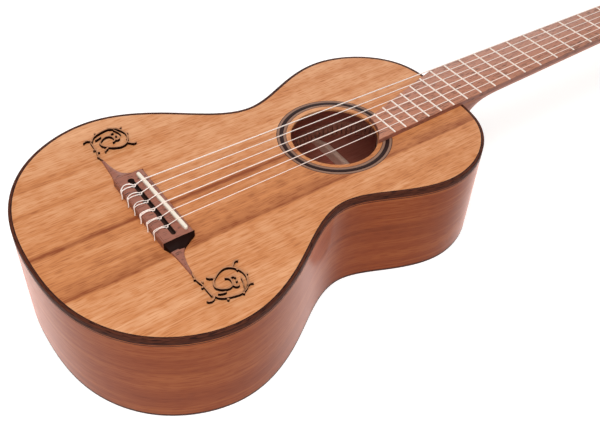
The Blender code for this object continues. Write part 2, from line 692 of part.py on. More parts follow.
def build_whisker():
    """The drawn-out end of the bridge: a hollow curve in front, nearly straight behind, thinning outwards."""
    sections = []
    start = BRIDGE_HALF - 1 * MM
    low = TOP_Z + GLUE_LINE
    for t in np.linspace(0, 1, WHISKER_SECTIONS):
        x = start + (WHISKER_TIP - start) * t
        front = WHISKER_FRONT[1] + (WHISKER_FRONT[0] - WHISKER_FRONT[1]) * (1 - t) ** 2.6
        rear = WHISKER_REAR[0] + (WHISKER_REAR[1] - WHISKER_REAR[0]) * t
        high = TOP_Z + WHISKER_HEIGHT + (WHISKER_ROOT_HEIGHT - WHISKER_HEIGHT) * (1 - t) ** 4
        middle = (front + rear) / 2
        edge = low + (high - low) * 0.6
        sections.append((
            (x, front, low), (x, front, edge), (x, middle + 0.2 * (front - middle), high),
            (x, rear, edge), (x, rear, low),
        ))
    return loft(sections)


def winding_side(index):
    """Treble strings run to the treble rollers; the outer strings to the rollers nearest the nut."""
    side = 1 if index < 3 else -1
    station = ROLLER_STATIONS[index if index < 3 else 5 - index]
    return side, station


def winding_points(index, start):
    """The string's turns on its roller, in the head's frame, from the top of the roller on."""
    side, station = winding_side(index)
    diameter = STRING_DIAMETERS[index]
    radius = ROLLER_RADIUS + FIT + diameter / 2
    step = diameter + WINDING_GAP
    centre = Vector((0, station, -ROLLER_DEPTH))
    distance = math.hypot(start[1] - station, start[2] + ROLLER_DEPTH)
    lean = math.atan2(start[2] + ROLLER_DEPTH, station - start[1])
    leave = math.pi - lean - math.acos(radius / distance)
    away = start[0]
    inward = -side if abs(away) > (SLOT_INNER + SLOT_OUTER) / 2 else side
    points = []
    for k in range(WINDING_STEPS * WINDING_TURNS + 1):
        angle = leave - math.tau * k / WINDING_STEPS
        x = away + inward * step * k / WINDING_STEPS
        points.append(Vector((x, centre.y + radius * math.cos(angle), centre.z + radius * math.sin(angle))))
    return points


def least_gap(points, diameter):
    """The least clearance of a winding to itself, measured between points over half a turn apart."""
    places = np.array([tuple(p) for p in points])
    least = math.inf
    half_turn = WINDING_STEPS // 2
    for i in range(len(places) - half_turn):
        least = min(least, np.linalg.norm(places[i + half_turn:] - places[i], axis=1).min())
    return least - diameter


def string_route(index):
    """Tail of the tie, over the tie block, through its hole, over the saddle and nut, round the roller."""
    diameter = STRING_DIAMETERS[index]
    x = string_x(index, SPACING_SADDLE)
    over = TOP_Z + BRIDGE_HEIGHT + FIT + diameter / 2
    hole = TOP_Z + TIE_HOLE_HEIGHT
    behind = BRIDGE_REAR - FIT - diameter / 2
    aside = x + 1.9 * MM
    route = [
        (aside, TIE_SLOT_REAR + 0.6 * MM, over - 1.6 * MM), (aside, TIE_SLOT_REAR - 1 * MM, over - 0.3 * MM),
        (aside - 0.1 * MM, TIE_SLOT_REAR - 3 * MM, over),
        (x + 0.8 * MM, BRIDGE_REAR + 1 * MM, over), (x + 0.6 * MM, behind + 0.1 * MM, over - 0.5 * MM),
        (x + 0.3 * MM, behind - 0.2 * MM, (over + hole) / 2), (x, behind + 0.2 * MM, hole + 0.5 * MM),
        (x, BRIDGE_REAR + 0.6 * MM, hole), (x, TIE_SLOT_REAR - 2.4 * MM, hole),
        (x, TIE_SLOT_FRONT - 1.3 * MM, TOP_Z + BRIDGE_HEIGHT - 0.5 * MM),
        (x, TIE_SLOT_FRONT - 0.3 * MM, TOP_Z + BRIDGE_HEIGHT + 1 * MM),
        (x, SADDLE_Y - 2.2 * MM, TOP_Z + STRING_HEIGHT_SADDLE - 0.05 * MM),
        (x, SADDLE_Y, TOP_Z + STRING_HEIGHT_SADDLE),
    ]
    route = [Vector(p) for p in route]
    nut_x = string_x(index, SPACING_NUT)
    route.append(Vector((nut_x, SCALE_LENGTH + 0.5 * MM, TOP_Z + STRING_HEIGHT_NUT + 0.1 * MM)))
    route.append(Vector((nut_x, HEAD_Y, TOP_Z + STRING_HEIGHT_NUT)))
    side, station = winding_side(index)
    landing = WINDING_LANDINGS[ROLLER_STATIONS.index(station)]
    start = Vector((side * landing, 0, STRING_HEIGHT_NUT))
    turns = winding_points(index, start)
    print(f"string_{index + 1} winding: least gap {least_gap(turns, diameter) * 1000:.2f} mm")
    return route + [head_point(*p) for p in turns]


def build_strings(finishes, guitar):
    for index, diameter in enumerate(STRING_DIAMETERS):
        route = string_route(index)
        curve = bpy.data.curves.new(f"string_{index + 1}", "CURVE")
        curve.dimensions = "3D"
        curve.bevel_depth = diameter / 2
        curve.bevel_resolution = 1
        curve.use_fill_caps = True
        spline = curve.splines.new("POLY")
        spline.points.add(len(route) - 1)
        for point, place in zip(spline.points, route):
            point.co = (*place, 1)
        curve.materials.append(finishes["gut" if index < 3 else "wound"])
        string = bpy.data.objects.new(f"string_{index + 1}", curve)
        string.parent = guitar
        bpy.context.scene.collection.objects.link(string)


def gear():
    """A worm wheel on the X axis, its teeth leaning with the thread that drives them."""
    root, tip = GEAR_RADIUS - GEAR_DEDENDUM, GEAR_RADIUS + ADDENDUM
    root_half, tip_half = GEAR_TOOTH_HALVES[0] / root, GEAR_TOOTH_HALVES[1] / tip
    sections = []
    for x in (-GEAR_WIDTH / 2, GEAR_WIDTH / 2):
        lean = x * LEAD / (math.tau * WORM_RADIUS) / GEAR_RADIUS
        section = []
        for tooth in range(GEAR_TEETH):
            middle = math.pi + math.tau * tooth / GEAR_TEETH + lean
            for radius, offset in ((root, -root_half), (tip, -tip_half), (tip, tip_half), (root, root_half)):
                angle = middle + offset
                section.append((x, radius * math.cos(angle), radius * math.sin(angle)))
        sections.append(section)
    return loft(sections)


def roller():
    """A string roller on the X axis with its journal, worm wheel and screw; x = 0 is the guitar's middle."""
    end = GEAR_MIDDLE + GEAR_WIDTH / 2 + 0.3 * MM
    profile = [
        (SLOT_INNER - ROLLER_SEAT, ROLLER_RADIUS), (HEAD_HALF, ROLLER_RADIUS), (HEAD_HALF, JOURNAL_RADIUS),
        (end, JOURNAL_RADIUS), (end, 2.4 * MM), (end + 1.2 * MM, 1.9 * MM),
    ]
    body = turned(profile, ROLLER_SIDES, axis="X")
    return combine(body, moved(gear(), (GEAR_MIDDLE, 0, 0)), "UNION")


def worm():
    """A worm on the Z axis through its own origin, level with the roller, with shaft and button."""
    top = ROLLER_DEPTH + 1.5 * MM
    button_top = -HEAD_THICKNESS + ROLLER_DEPTH - BUTTON_DROP
    collar_low, collar_high = -9.4 * MM, -8.6 * MM
    core = WORM_RADIUS - WORM_DEDENDUM
    profile = [
        (button_top - 3 * MM, SHAFT_RADIUS), (collar_low, SHAFT_RADIUS), (collar_low, COLLAR_RADIUS),
        (collar_high, COLLAR_RADIUS), (collar_high, SHAFT_RADIUS), (-WORM_HALF_LENGTH, SHAFT_RADIUS),
        (-WORM_HALF_LENGTH, core), (WORM_HALF_LENGTH, core), (WORM_HALF_LENGTH, SHAFT_RADIUS),
        (top, SHAFT_RADIUS),
    ]
    body = turned(profile, WORM_SIDES)
    root, tip = core - 0.2 * MM, WORM_RADIUS + ADDENDUM
    thread = bmesh.new()
    start = -(WORM_TURNS + 1) / 2 * math.tau
    lift = LEAD * start / math.tau + LEAD / 2
    wide, narrow = THREAD_HALVES
    edge = [(root, -wide), (tip, -narrow), (tip, narrow), (root, wide)]
    verts = [thread.verts.new((0, r, z + lift)) for r, z in edge]
    face = thread.faces.new(verts)
    bmesh.ops.spin(
        thread, geom=[face], cent=(0, 0, 0), axis=(0, 0, 1), dvec=(0, 0, LEAD / WORM_SIDES),
        angle=math.tau * WORM_TURNS, steps=WORM_SIDES * WORM_TURNS, use_duplicate=False,
    )
    body = combine(body, thread, "UNION")
    button = bmesh.new()
    bmesh.ops.create_uvsphere(button, u_segments=10, v_segments=6, radius=1)
    bmesh.ops.scale(button, verts=button.verts, vec=BUTTON_HALVES)
    moved(button, (0, 0, button_top + 0.5 * MM - BUTTON_HALVES[2]))
    return combine(body, button, "UNION")


def machine_plate():
    """The treble plate with its six bearing lugs, in the head's frame."""
    inner = HEAD_HALF + FIT
    outer = inner + MACHINE_PLATE
    middle = ((PLATE_START + PLATE_END) / 2, -ROLLER_DEPTH)
    outline = obround((PLATE_END - PLATE_START) / 2, PLATE_HALF, middle, steps=6)
    plate = prism(outline, inner, outer, axis="X")
    for u in ROLLER_STATIONS:
        worm_u = u - CENTRE_DISTANCE
        for n in (-ROLLER_DEPTH - LUG_REACH, -ROLLER_DEPTH + LUG_REACH):
            lug = [(outer - 0.5 * MM, worm_u - LUG_RADIUS), (outer - 0.5 * MM, worm_u + LUG_RADIUS)]
            lug += [
                (GEAR_MIDDLE + LUG_RADIUS * math.sin(a), worm_u + LUG_RADIUS * math.cos(a))
                for a in np.linspace(0, math.pi, 7)
            ]
            plate = combine(plate, prism(lug, n - LUG_HALF, n + LUG_HALF), "UNION")
        shaft_bore = prism(circle(SHAFT_RADIUS + FIT, 12, (GEAR_MIDDLE, worm_u)), -HEAD_THICKNESS, FIT)
        plate = combine(plate, shaft_bore, "DIFFERENCE")
        around = circle(JOURNAL_RADIUS + FIT, 12, (u, -ROLLER_DEPTH))
        plate = combine(plate, prism(around, inner - FIT, outer + FIT, axis="X"), "DIFFERENCE")
    return plate


def build_machines(finishes, head):
    """Six rollers and worms with their two plates; the bass side mirrors the treble side."""
    add_part("machine_plate_treble", machine_plate(), finishes["brass"], head)
    add_part("machine_plate_bass", mirrored(machine_plate()), finishes["brass"], head)
    meshes = {}
    for side in (1, -1):
        for name, make in (("roller", roller), ("worm", worm)):
            shape = make()
            meshes[name, side] = mesh_of(shape if side > 0 else mirrored(shape), name)
    for index in range(len(STRING_DIAMETERS)):
        side, station = winding_side(index)
        roller_place = (0, station, -ROLLER_DEPTH)
        add_part(f"roller_{index + 1}", meshes["roller", side], finishes["roller"], head, roller_place)
        worm_place = (side * GEAR_MIDDLE, station - CENTRE_DISTANCE, -ROLLER_DEPTH)
        add_part(f"worm_{index + 1}", meshes["worm", side], finishes["brass"], head, worm_place)


def main():
    clear_scene()
    finishes = {
        "plates": new_material("koa top", "#b9824f", 0.42),
        "ribs": new_material("koa ribs", "#8f5230", 0.38),
        "binding": new_material("rosewood binding", "#4b2b22", 0.35),
        "lining": new_material("cedar lining", "#c79a66", 0.7),
        "blocks": new_material("spruce block", "#cfa873", 0.7),
        "rosette": new_material("rosette wood", "#2a1a14", 0.35),
        "neck": new_material("mahogany neck", "#8a4b2c", 0.4),
        "rosewood": new_material("rosewood", "#5a4038", 0.45),
        "fret": new_material("nickel silver fret", "#cfcabb", 0.25, 1.0),
        "bone": new_material("bone", "#efe6d3", 0.45),
        "gut": new_material("plain string", "#e9dcc6", 0.35),
        "wound": new_material("wound string", "#cbbfae", 0.3, 0.6),
        "brass": new_material("brass", "#b08d4a", 0.3, 1.0),
        "roller": new_material("bone roller", "#e6dcc6", 0.4),
    }
    guitar = add_empty("guitar_frame", (0, -(OVERALL_LENGTH / 2 + TAIL_Y), 0))
    head = add_empty("head_frame", (0, HEAD_Y, TOP_Z), -HEAD_TILT, guitar)
    build_body(finishes, guitar)
    build_neck(finishes, guitar)
    build_board(finishes, guitar)
    build_bridge(finishes, guitar)
    build_strings(finishes, guitar)
    build_machines(finishes, head)


main()
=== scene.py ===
"""The looks of a romantic guitar: every visible piece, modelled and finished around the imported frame.

Guitar frame: +Y runs from the tail to the head, +X is the treble side, the back lies on z = 0 and
y = 0 is the line just behind the saddle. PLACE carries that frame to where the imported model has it.
"""

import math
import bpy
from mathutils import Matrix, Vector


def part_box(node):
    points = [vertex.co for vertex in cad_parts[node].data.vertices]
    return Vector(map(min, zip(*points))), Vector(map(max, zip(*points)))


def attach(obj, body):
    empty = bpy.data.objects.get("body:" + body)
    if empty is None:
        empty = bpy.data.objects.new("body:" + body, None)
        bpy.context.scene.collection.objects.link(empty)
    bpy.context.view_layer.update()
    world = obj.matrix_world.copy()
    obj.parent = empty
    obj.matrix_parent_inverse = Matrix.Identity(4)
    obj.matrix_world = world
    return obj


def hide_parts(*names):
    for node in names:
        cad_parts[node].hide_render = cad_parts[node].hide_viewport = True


bl_info = {
    "name": "Romantic guitar",
    "version": (1, 0, 0),
    "blender": (4, 5, 0),
    "location": "3D View > Sidebar > Guitar",
    "description": "Models and finishes the pieces of a romantic guitar around its packed frame",
    "category": "Add Mesh",
}

import bmesh
import bpy
import numpy as np
from bpy.props import FloatProperty, FloatVectorProperty, IntProperty, PointerProperty
from mathutils import Matrix, Vector

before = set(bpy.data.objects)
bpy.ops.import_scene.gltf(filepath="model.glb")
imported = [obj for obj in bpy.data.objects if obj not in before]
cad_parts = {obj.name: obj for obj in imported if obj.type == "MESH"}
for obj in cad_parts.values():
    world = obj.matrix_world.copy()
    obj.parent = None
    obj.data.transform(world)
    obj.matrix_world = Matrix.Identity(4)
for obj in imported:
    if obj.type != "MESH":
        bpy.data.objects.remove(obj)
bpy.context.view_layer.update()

MM = 0.001
# Air between pieces that lie against each other, and how near to a height or radius counts as on it
GAP = 0.1 * MM
NEAR = 0.01 * MM

# Places taken from the frame
TOP_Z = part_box("soundboard")[1].z
BACK_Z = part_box("back")[0].z
SADDLE_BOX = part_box("saddle")
SADDLE_Y = 1 * MM
PLACE = Matrix.Translation((0, (SADDLE_BOX[0].y + SADDLE_BOX[1].y) / 2 - SADDLE_Y, 0))

# Neck and board
SCALE_LENGTH = 640 * MM
FRET_COUNT = 18
HALF_WIDTH_NUT = 21 * MM
HALF_WIDTH_JOINT = 28.2 * MM
BOARD_THICKNESS = 4.8 * MM
NUT_LENGTH = 5 * MM
HEAD_Y = SCALE_LENGTH + NUT_LENGTH
BOARD_CUT_START = 322 * MM
BOARD_CUT_END = 221.5 * MM
BOARD_END_RADIUS = 40.9 * MM
BOARD_TREBLE_END = 205 * MM
SHAFT_DEPTH_NUT = 17.5 * MM
SHAFT_DEPTH_JOINT = 18.5 * MM
SHAFT_DEPTH_HEAD = 20 * MM
SHAFT_THICKENING = 25 * MM
SHAFT_SQUARENESS = 1.65
HEEL_DEPTH = 88 * MM
HEEL_LENGTH = 50 * MM
HEEL_SQUARENESS = 2
HEEL_INLET = 1.3 * MM

# Body
BODY_END_Y = 316 * MM
HALF_OUTLINE = (
    (0, -116), (60, -108), (110, -76), (138, -5), (112, 66),
    (78, 135), (92, 180), (105.5, 236), (81.5, 292), (56, 309.5), (29, 315), (0, 316),
)
PLATE_THICKNESS = 2.5 * MM
RIB_THICKNESS = 2.2 * MM
BINDING_WIDTH = 2.4 * MM
BINDING_HEIGHT = 6 * MM
BACK_BINDING_HEIGHT = 2.5 * MM
SIDE_LINE = 0.7 * MM
SIDE_LINE_GAP = 0.9 * MM
PURFLING_WIDTH = 0.7 * MM
INLAY_RISE = 0.02 * MM
EDGE_ROUNDING = 0.5 * MM
LINING_WIDTH = 5.5 * MM
LINING_HEIGHT = 14 * MM
LINING_SLOPE = 6.3 * MM
KERF_WEB = 1.2 * MM
NECK_BLOCK = (33 * MM, 265 * MM)
INSIDE = (BACK_Z + PLATE_THICKNESS + GAP, TOP_Z - PLATE_THICKNESS - GAP)

# Soundhole and rosette
HOLE_Y = 179 * MM
HOLE_RADIUS = 40.4 * MM
HOLE_EASE = 0.4 * MM
ROSETTE_RADII = tuple(r * MM for r in (44.6, 45.1, 47.3, 51.0, 53.0, 53.7))
ROSETTE_DEPTH = 0.9 * MM
ROSETTE_RISE = 0.06 * MM
ROSETTE_EASE = 0.15 * MM

# Bridge
BRIDGE_X = -1.3 * MM
BRIDGE_HALF = 44 * MM
BRIDGE_HEIGHT = 7.4 * MM
BRIDGE_PROFILE = (
    (7, 0.1), (7, 4.9), (6.7, 5.4), (5.2, 7.1), (4.7, 7.4), (-1.4, 7.4), (-6, 6.9), (-12.4, 7.2),
    (-19.3, 7.4), (-19.6, 7.05), (-20, 7.05), (-20.3, 7.4), (-20.7, 7.35), (-21, 7), (-21, 0.1),
)
SADDLE_SLANT = math.radians(1.9)
SADDLE_THICKNESS = 3.4 * MM
SADDLE_HALF = 40 * MM
SADDLE_TOP = 9.9 * MM
SADDLE_SEAT = 2.5 * MM
TIE_SLOT = (-6.4 * MM, -10.6 * MM)
TIE_SLOT_DEPTH = 5 * MM
TIE_SLOT_HALF = 38.5 * MM
# The hollow that the slot runs into at its bass end
TIE_SLOT_END = (-36.6 * MM, -8.8 * MM)
TIE_SLOT_END_RADIUS = 2.9 * MM
TIE_RECESS_RADIUS = 2.4 * MM
TIE_RECESS_Y = -10.4 * MM
TIE_HOLE_HEIGHT = 3.4 * MM
TIE_HOLE_RADIUS = 1 * MM
TIE_HOLE_LENGTH = 15 * MM
# The tie slot's surroundings, whose cut faces are painted darker as painted shade
TIE_REGION = (-15 * MM, -4 * MM)
BRIDGE_REAR = -21 * MM
# Each whisker in mm: distance from the middle, front and rear edge, height; the first is at the block's end
WHISKER = (
    (43.6, 7, -21, 7.3), (45.3, 4, -20.3, 5.6), (47.6, 0, -19.3, 4.1), (50.4, -4.4, -18.5, 3.1),
    (53.4, -8, -17.9, 2.6), (58.5, -10.8, -17.3, 2.4), (64, -12.4, -17, 2.3), (73, -13.9, -16.6, 2.1),
    (83, -15, -16.2, 1.9),
)
# The painted shade in the scoop under the block's treble end reaches this far, at this line along Y and lean
HOLLOW_END = 52.5 * MM
HOLLOW_LEAN = 0.2
HOLLOW_Y = -8 * MM

# Strings, first to sixth
STRING_DIAMETERS = tuple(d * MM for d in (0.72, 0.84, 1.04, 0.78, 0.92, 1.12))
SPACING_SADDLE = 11.3 * MM
SPACING_NUT = 7.8 * MM
# How far each tie's two strands bulge over the block in mm, on the bass side and on the treble side
TIE_BULGES = ((-0.8, 0.2), (-0.9, 0.2), (-1, 0.3), (-2.4, 0.9), (-2.5, 0.8), (-3.8, 0.5))
STRING_HEIGHT_SADDLE = 10.2 * MM
STRING_HEIGHT_NUT = 6.4 * MM

# Head, in its own frame: u along the head from the nut, n square to its face
HEAD_TILT = math.radians(14)
HEAD_LENGTH = 168 * MM
HEAD_HALF = 32 * MM
HEAD_THICKNESS = 19 * MM
SLOT_INNER = 8.5 * MM
SLOT_OUTER = 21.5 * MM
SLOT_START = 22 * MM
SLOT_END = 134 * MM
SHOULDER_RADIUS = 9 * MM
SHOULDER_DROP = 22 * MM
ARCH_HALF = 16 * MM
ARCH_RISE = 10 * MM
HEAD_PLACE = PLACE @ Matrix.Translation((0, HEAD_Y, TOP_Z)) @ Matrix.Rotation(-HEAD_TILT, 4, "X")

# Machines
ROLLER_STATIONS = tuple(u * MM for u in (42, 77, 112))
ROLLER_DEPTH = 9.5 * MM
ROLLER_RADIUS = 4.8 * MM
FIT = 0.3 * MM
ROLLER_SEAT = 2.2 * MM
JOURNAL_RADIUS = 3 * MM
MACHINE_PLATE = 1.2 * MM
PLATE_HALF = 8 * MM
PLATE_SPAN = (ROLLER_STATIONS[0] - 18 * MM, ROLLER_STATIONS[-1] + 16 * MM)
PLATE_SCREWS = tuple(u * MM for u in (27, 56.5, 91.5, 124.2))
LUG_RADIUS = 3.2 * MM
LUG_REACH = 6.5 * MM
LUG_HALF = 1.1 * MM
GEAR_TEETH = 14
GEAR_WIDTH = 3 * MM
GEAR_RADIUS = 5.6 * MM
GEAR_FLANK = ((-1, 0.75), (-0.4, 0.66), (0.2, 0.5), (0.55, 0.33), (0.7, 0.2))
WORM_RADIUS = 3 * MM
WORM_LEAD = math.tau * GEAR_RADIUS / GEAR_TEETH
WORM_CORE = 2.1 * MM
WORM_HALF_LENGTH = 5 * MM
WORM_TURNS = 3
WORM_STEPS = 24
THREAD = ((-0.2, -0.78), (1.35, -0.32), (1.6, -0.18), (1.6, 0.18), (1.35, 0.32), (-0.2, 0.78))
SHAFT_RADIUS = 1.9 * MM
CENTRE_DISTANCE = GEAR_RADIUS + WORM_RADIUS
PLATE_FACE = HEAD_HALF + FIT + MACHINE_PLATE
GEAR_MIDDLE = PLATE_FACE + 4.2 * MM
BUTTON_TOP = -HEAD_THICKNESS + ROLLER_DEPTH - 6 * MM
# The button in mm: height over its top, half thickness, half width
BUTTON = (
    (0.5, 2.6, 2.6), (-0.4, 3.1, 3.1), (-1.4, 3.1, 3.1), (-2.2, 2.4, 2.6), (-3.6, 2.7, 3.8), (-6, 3.5, 6),
    (-9, 4.1, 7.6), (-12, 4.2, 8), (-14.8, 3.9, 7.2), (-17, 3, 5.2), (-18.2, 1.6, 2.8), (-18.5, 0.5, 1),
)
WINDING_TURNS = 2
WINDING_STEPS = 24
WINDING_GAP = 0.55 * MM
WINDING_LANDINGS = tuple(x * MM for x in (18.6, 16.2, 15.4))

# The treble scroll: routes in mm, each with its half width; the bass scroll is their mirror
VINE = (
    (105.4, -13.3), (109.1, -11.3), (112.7, -6), (114.4, -0.4), (115.1, 6.3), (112.4, 12), (107.4, 15.8),
    (99.4, 17.6), (92.8, 15.6), (88.2, 11.6), (86.7, 7.7), (87.4, 3.3), (90.2, -2), (94.4, -6.6),
    (100.2, -8), (104.2, -4.2), (105.9, 0.4), (104.5, 4), (101, 5.5), (97.3, 5), (95.6, 2.3),
)
SCROLL_STROKES = (
    (0.5, ((78, -15.9), (84.1, -16.6), (88.3, -16), (92, -15.2), (95, -15), (99.8, -14.8), (105.8, -14.6))),
    (0.6, VINE),
    (0.65, ((105.4, -13.3), (107.4, -13.8), (108.9, -15.2), (109.5, -17), (109, -19), (107.7, -20.5))),
    (0.7, ((92.6, -4.8), (90.8, -5), (89.4, -7.3), (87.3, -9))),
    (0.65, ((106.1, -9.8), (107.2, -7.1), (107.8, -5), (107.9, -3.4))),
    (0.65, ((89.4, 13), (87.2, 15), (85.1, 17.2), (84.7, 18.8), (86, 20.4))),
    (0.6, ((115.2, 6.4), (113.6, 9.6), (111.2, 13.4), (110.4, 16.3), (111.7, 18.3))),
    (0.6, ((104.1, 4.2), (106.7, 5), (107.8, 6.8), (107.2, 8.6))),
    (0.8, ((97.9, 5.6), (97, 7.6), (98, 9.5), (99.8, 9.6))),
    (0.35, ((101.8, 13), (104.4, 12.8), (107.8, 11.7), (111.4, 10))),
)
SCROLL_SHIFT = (-0.5 * MM, 0.4 * MM, 0)
# In mm: the step between a stroke's sections, and how far its ends are drawn out
STROKE_STEP = 0.5
STROKE_TAPER = 1.6
BUD_RADIUS = 0.9 * MM
SCROLL_BUDS = (
    (114.8, -6.2), (116, 6.9), (102.8, 8.7), (84.1, -17.3), (94.5, -16.5), (90, -13.9), (101, 19),
    (93.4, 15.2),
)


def colour(hex_code):
    """Linear RGBA from the sRGB code that a finish is known by."""
    channels = [int(hex_code[i:i + 2], 16) / 255 for i in (1, 3, 5)]
    return [c / 12.92 if c <= 0.04045 else ((c + 0.055) / 1.055) ** 2.4 for c in channels] + [1]


def paint(name):
    """The colour setting of that name, or the colour of a hex code."""
    return colour(name) if name[0] == "#" else getattr(bpy.context.scene.guitar_colours, name)


def colour_setting(name, description, hex_code):
    return FloatVectorProperty(
        name=name, description=description, subtype="COLOR", size=4, min=0, max=1, default=colour(hex_code),
    )


def length_setting(name, description, metres):
    return FloatProperty(
        name=name, description=description, unit="LENGTH", precision=5, min=0, default=metres,
    )


def power_setting(name, description, watts):
    return FloatProperty(name=name, description=description, unit="POWER", default=watts)


def strength_setting(name, description, strength):
    return FloatProperty(name=name, description=description, subtype="FACTOR", min=0, default=strength)


def count_setting(name, description, least, count):
    return IntProperty(name=name, description=description, min=least, default=count)


class GuitarSizes(bpy.types.PropertyGroup):
    """How finely the pieces are modelled, and the sizes of their small forms."""

    outline_steps: count_setting("Outline steps", "Points round the body", 64, 512)
    circle_steps: count_setting("Circle steps", "Points round the soundhole", 32, 128)
    kerf_count: count_setting("Kerfs", "Saw cuts in each lining", 40, 208)
    scroll_height: length_setting("Scroll height", "Height of the bridge's scrolls over the top", 3 * MM)
    fret_height: length_setting("Fret height", "Height of the fret crowns", 1 * MM)
    fret_width: length_setting("Fret width", "Width of the fret crowns", 1.7 * MM)


class GuitarColours(bpy.types.PropertyGroup):
    """The colours of the woods, bone, strings and metal."""

    top_dark: colour_setting("Top, dark", "Dark streaks of the soundboard", "#8a4522")
    top_middle: colour_setting("Top, middle", "Heartwood of the soundboard", "#c7804e")
    top_light: colour_setting("Top, light", "Sapwood of the soundboard", "#eab287")
    rib_dark: colour_setting("Ribs, dark", "Dark streaks of the ribs and back", "#6b2c14")
    rib_middle: colour_setting("Ribs, middle", "Ground of the ribs and back", "#934724")
    rib_light: colour_setting("Ribs, light", "Light streaks of the ribs and back", "#bb6d3a")
    rosewood_dark: colour_setting("Rosewood, dark", "Dark streaks of the rosewood", "#2b1511")
    rosewood_light: colour_setting("Rosewood, light", "Ground of the bridge's rosewood", "#965d4b")
    # The board's colour is paler than the bridge's rosewood as painted sheen on its top
    board: colour_setting("Board", "Ground of the fingerboard's rosewood", "#b67a60")
    bone: colour_setting("Bone", "Saddle, nut and rollers", "#f1e4d2")
    string: colour_setting("Strings", "Plain strings", "#ffeade")
    brass: colour_setting("Brass", "Plates, worms and wheels", "#c79f55")


class GuitarStage(bpy.types.PropertyGroup):
    """The floor and the lamps."""

    floor: colour_setting("Floor", "The pale floor", "#dddbd8")
    floor_glow: strength_setting("Floor glow", "What the floor adds to its own light", 0.58)
    rim_power: power_setting("Rim", "Power of the low far softbox", 5)
    overhead_power: power_setting("Overhead", "Power of the overhead softbox", 17)
    front_power: power_setting("Front", "Power of the softbox by the camera", 10)
    surround: strength_setting("Surround", "Strength of the light from all round", 0.27)
    reflected: strength_setting("Reflected", "Strength of the surround in reflections", 0.9)


def node(tree, kind, inputs=(), **settings):
    """A new node with its settings; an input is linked if it is given a socket, and set if a value."""
    made = tree.nodes.new(kind)
    for name, value in settings.items():
        setattr(made, name, value)
    for key, value in dict(inputs).items():
        if isinstance(value, bpy.types.NodeSocket):
            tree.links.new(value, made.inputs[key])
        else:
            made.inputs[key].default_value = value
    return made


def new_finish(name):
    """A new material with its node tree and shader."""
    made = bpy.data.materials.new(name)
    made.use_nodes = True
    return made, made.node_tree, made.node_tree.nodes["Principled BSDF"]


def set_shader(shader, values):
    for name, value in values.items():
        shader.inputs[name].default_value = value


def stops_of(ramp, stops):
    """Sets a colour ramp's stops from (place, colour) pairs."""
    elements = ramp.color_ramp.elements
    while len(elements) < len(stops):
        elements.new(0.5)
    for element, (place, value) in zip(elements, stops):
        element.position = place
        element.color = value


def noise(tree, vector, size, stretch=1.0, detail=2.0):
    """Noise with features of a real size across the grain, drawn out along it by the stretch."""
    drawn = node(tree, "ShaderNodeMapping", {"Vector": vector, "Scale": (1, 1 / stretch, 1)})
    return node(
        tree, "ShaderNodeTexNoise", {"Vector": drawn.outputs[0], "Scale": 1 / size, "Detail": detail},
    ).outputs[0]


def weighted(tree, start, terms):
    """start plus each socket's distance from a half times its weight."""
    total = start - sum(weight for _, weight in terms) / 2
    for socket, weight in terms:
        total = node(
            tree, "ShaderNodeMath", {0: socket, 1: weight, 2: total}, operation="MULTIPLY_ADD",
        ).outputs[0]
    return total


def ramp_along(tree, socket, stops):
    """A tone read from (millimetres, tone) stops along one coordinate."""
    first, last = stops[0][0], stops[-1][0]
    share = node(
        tree, "ShaderNodeMapRange", {"Value": socket, "From Min": first * MM, "From Max": last * MM},
    )
    ramp = node(tree, "ShaderNodeValToRGB", {0: share.outputs[0]})
    stops_of(ramp, [((place - first) / (last - first), (v, v, v, 1)) for place, v in stops])
    return ramp.outputs[0]


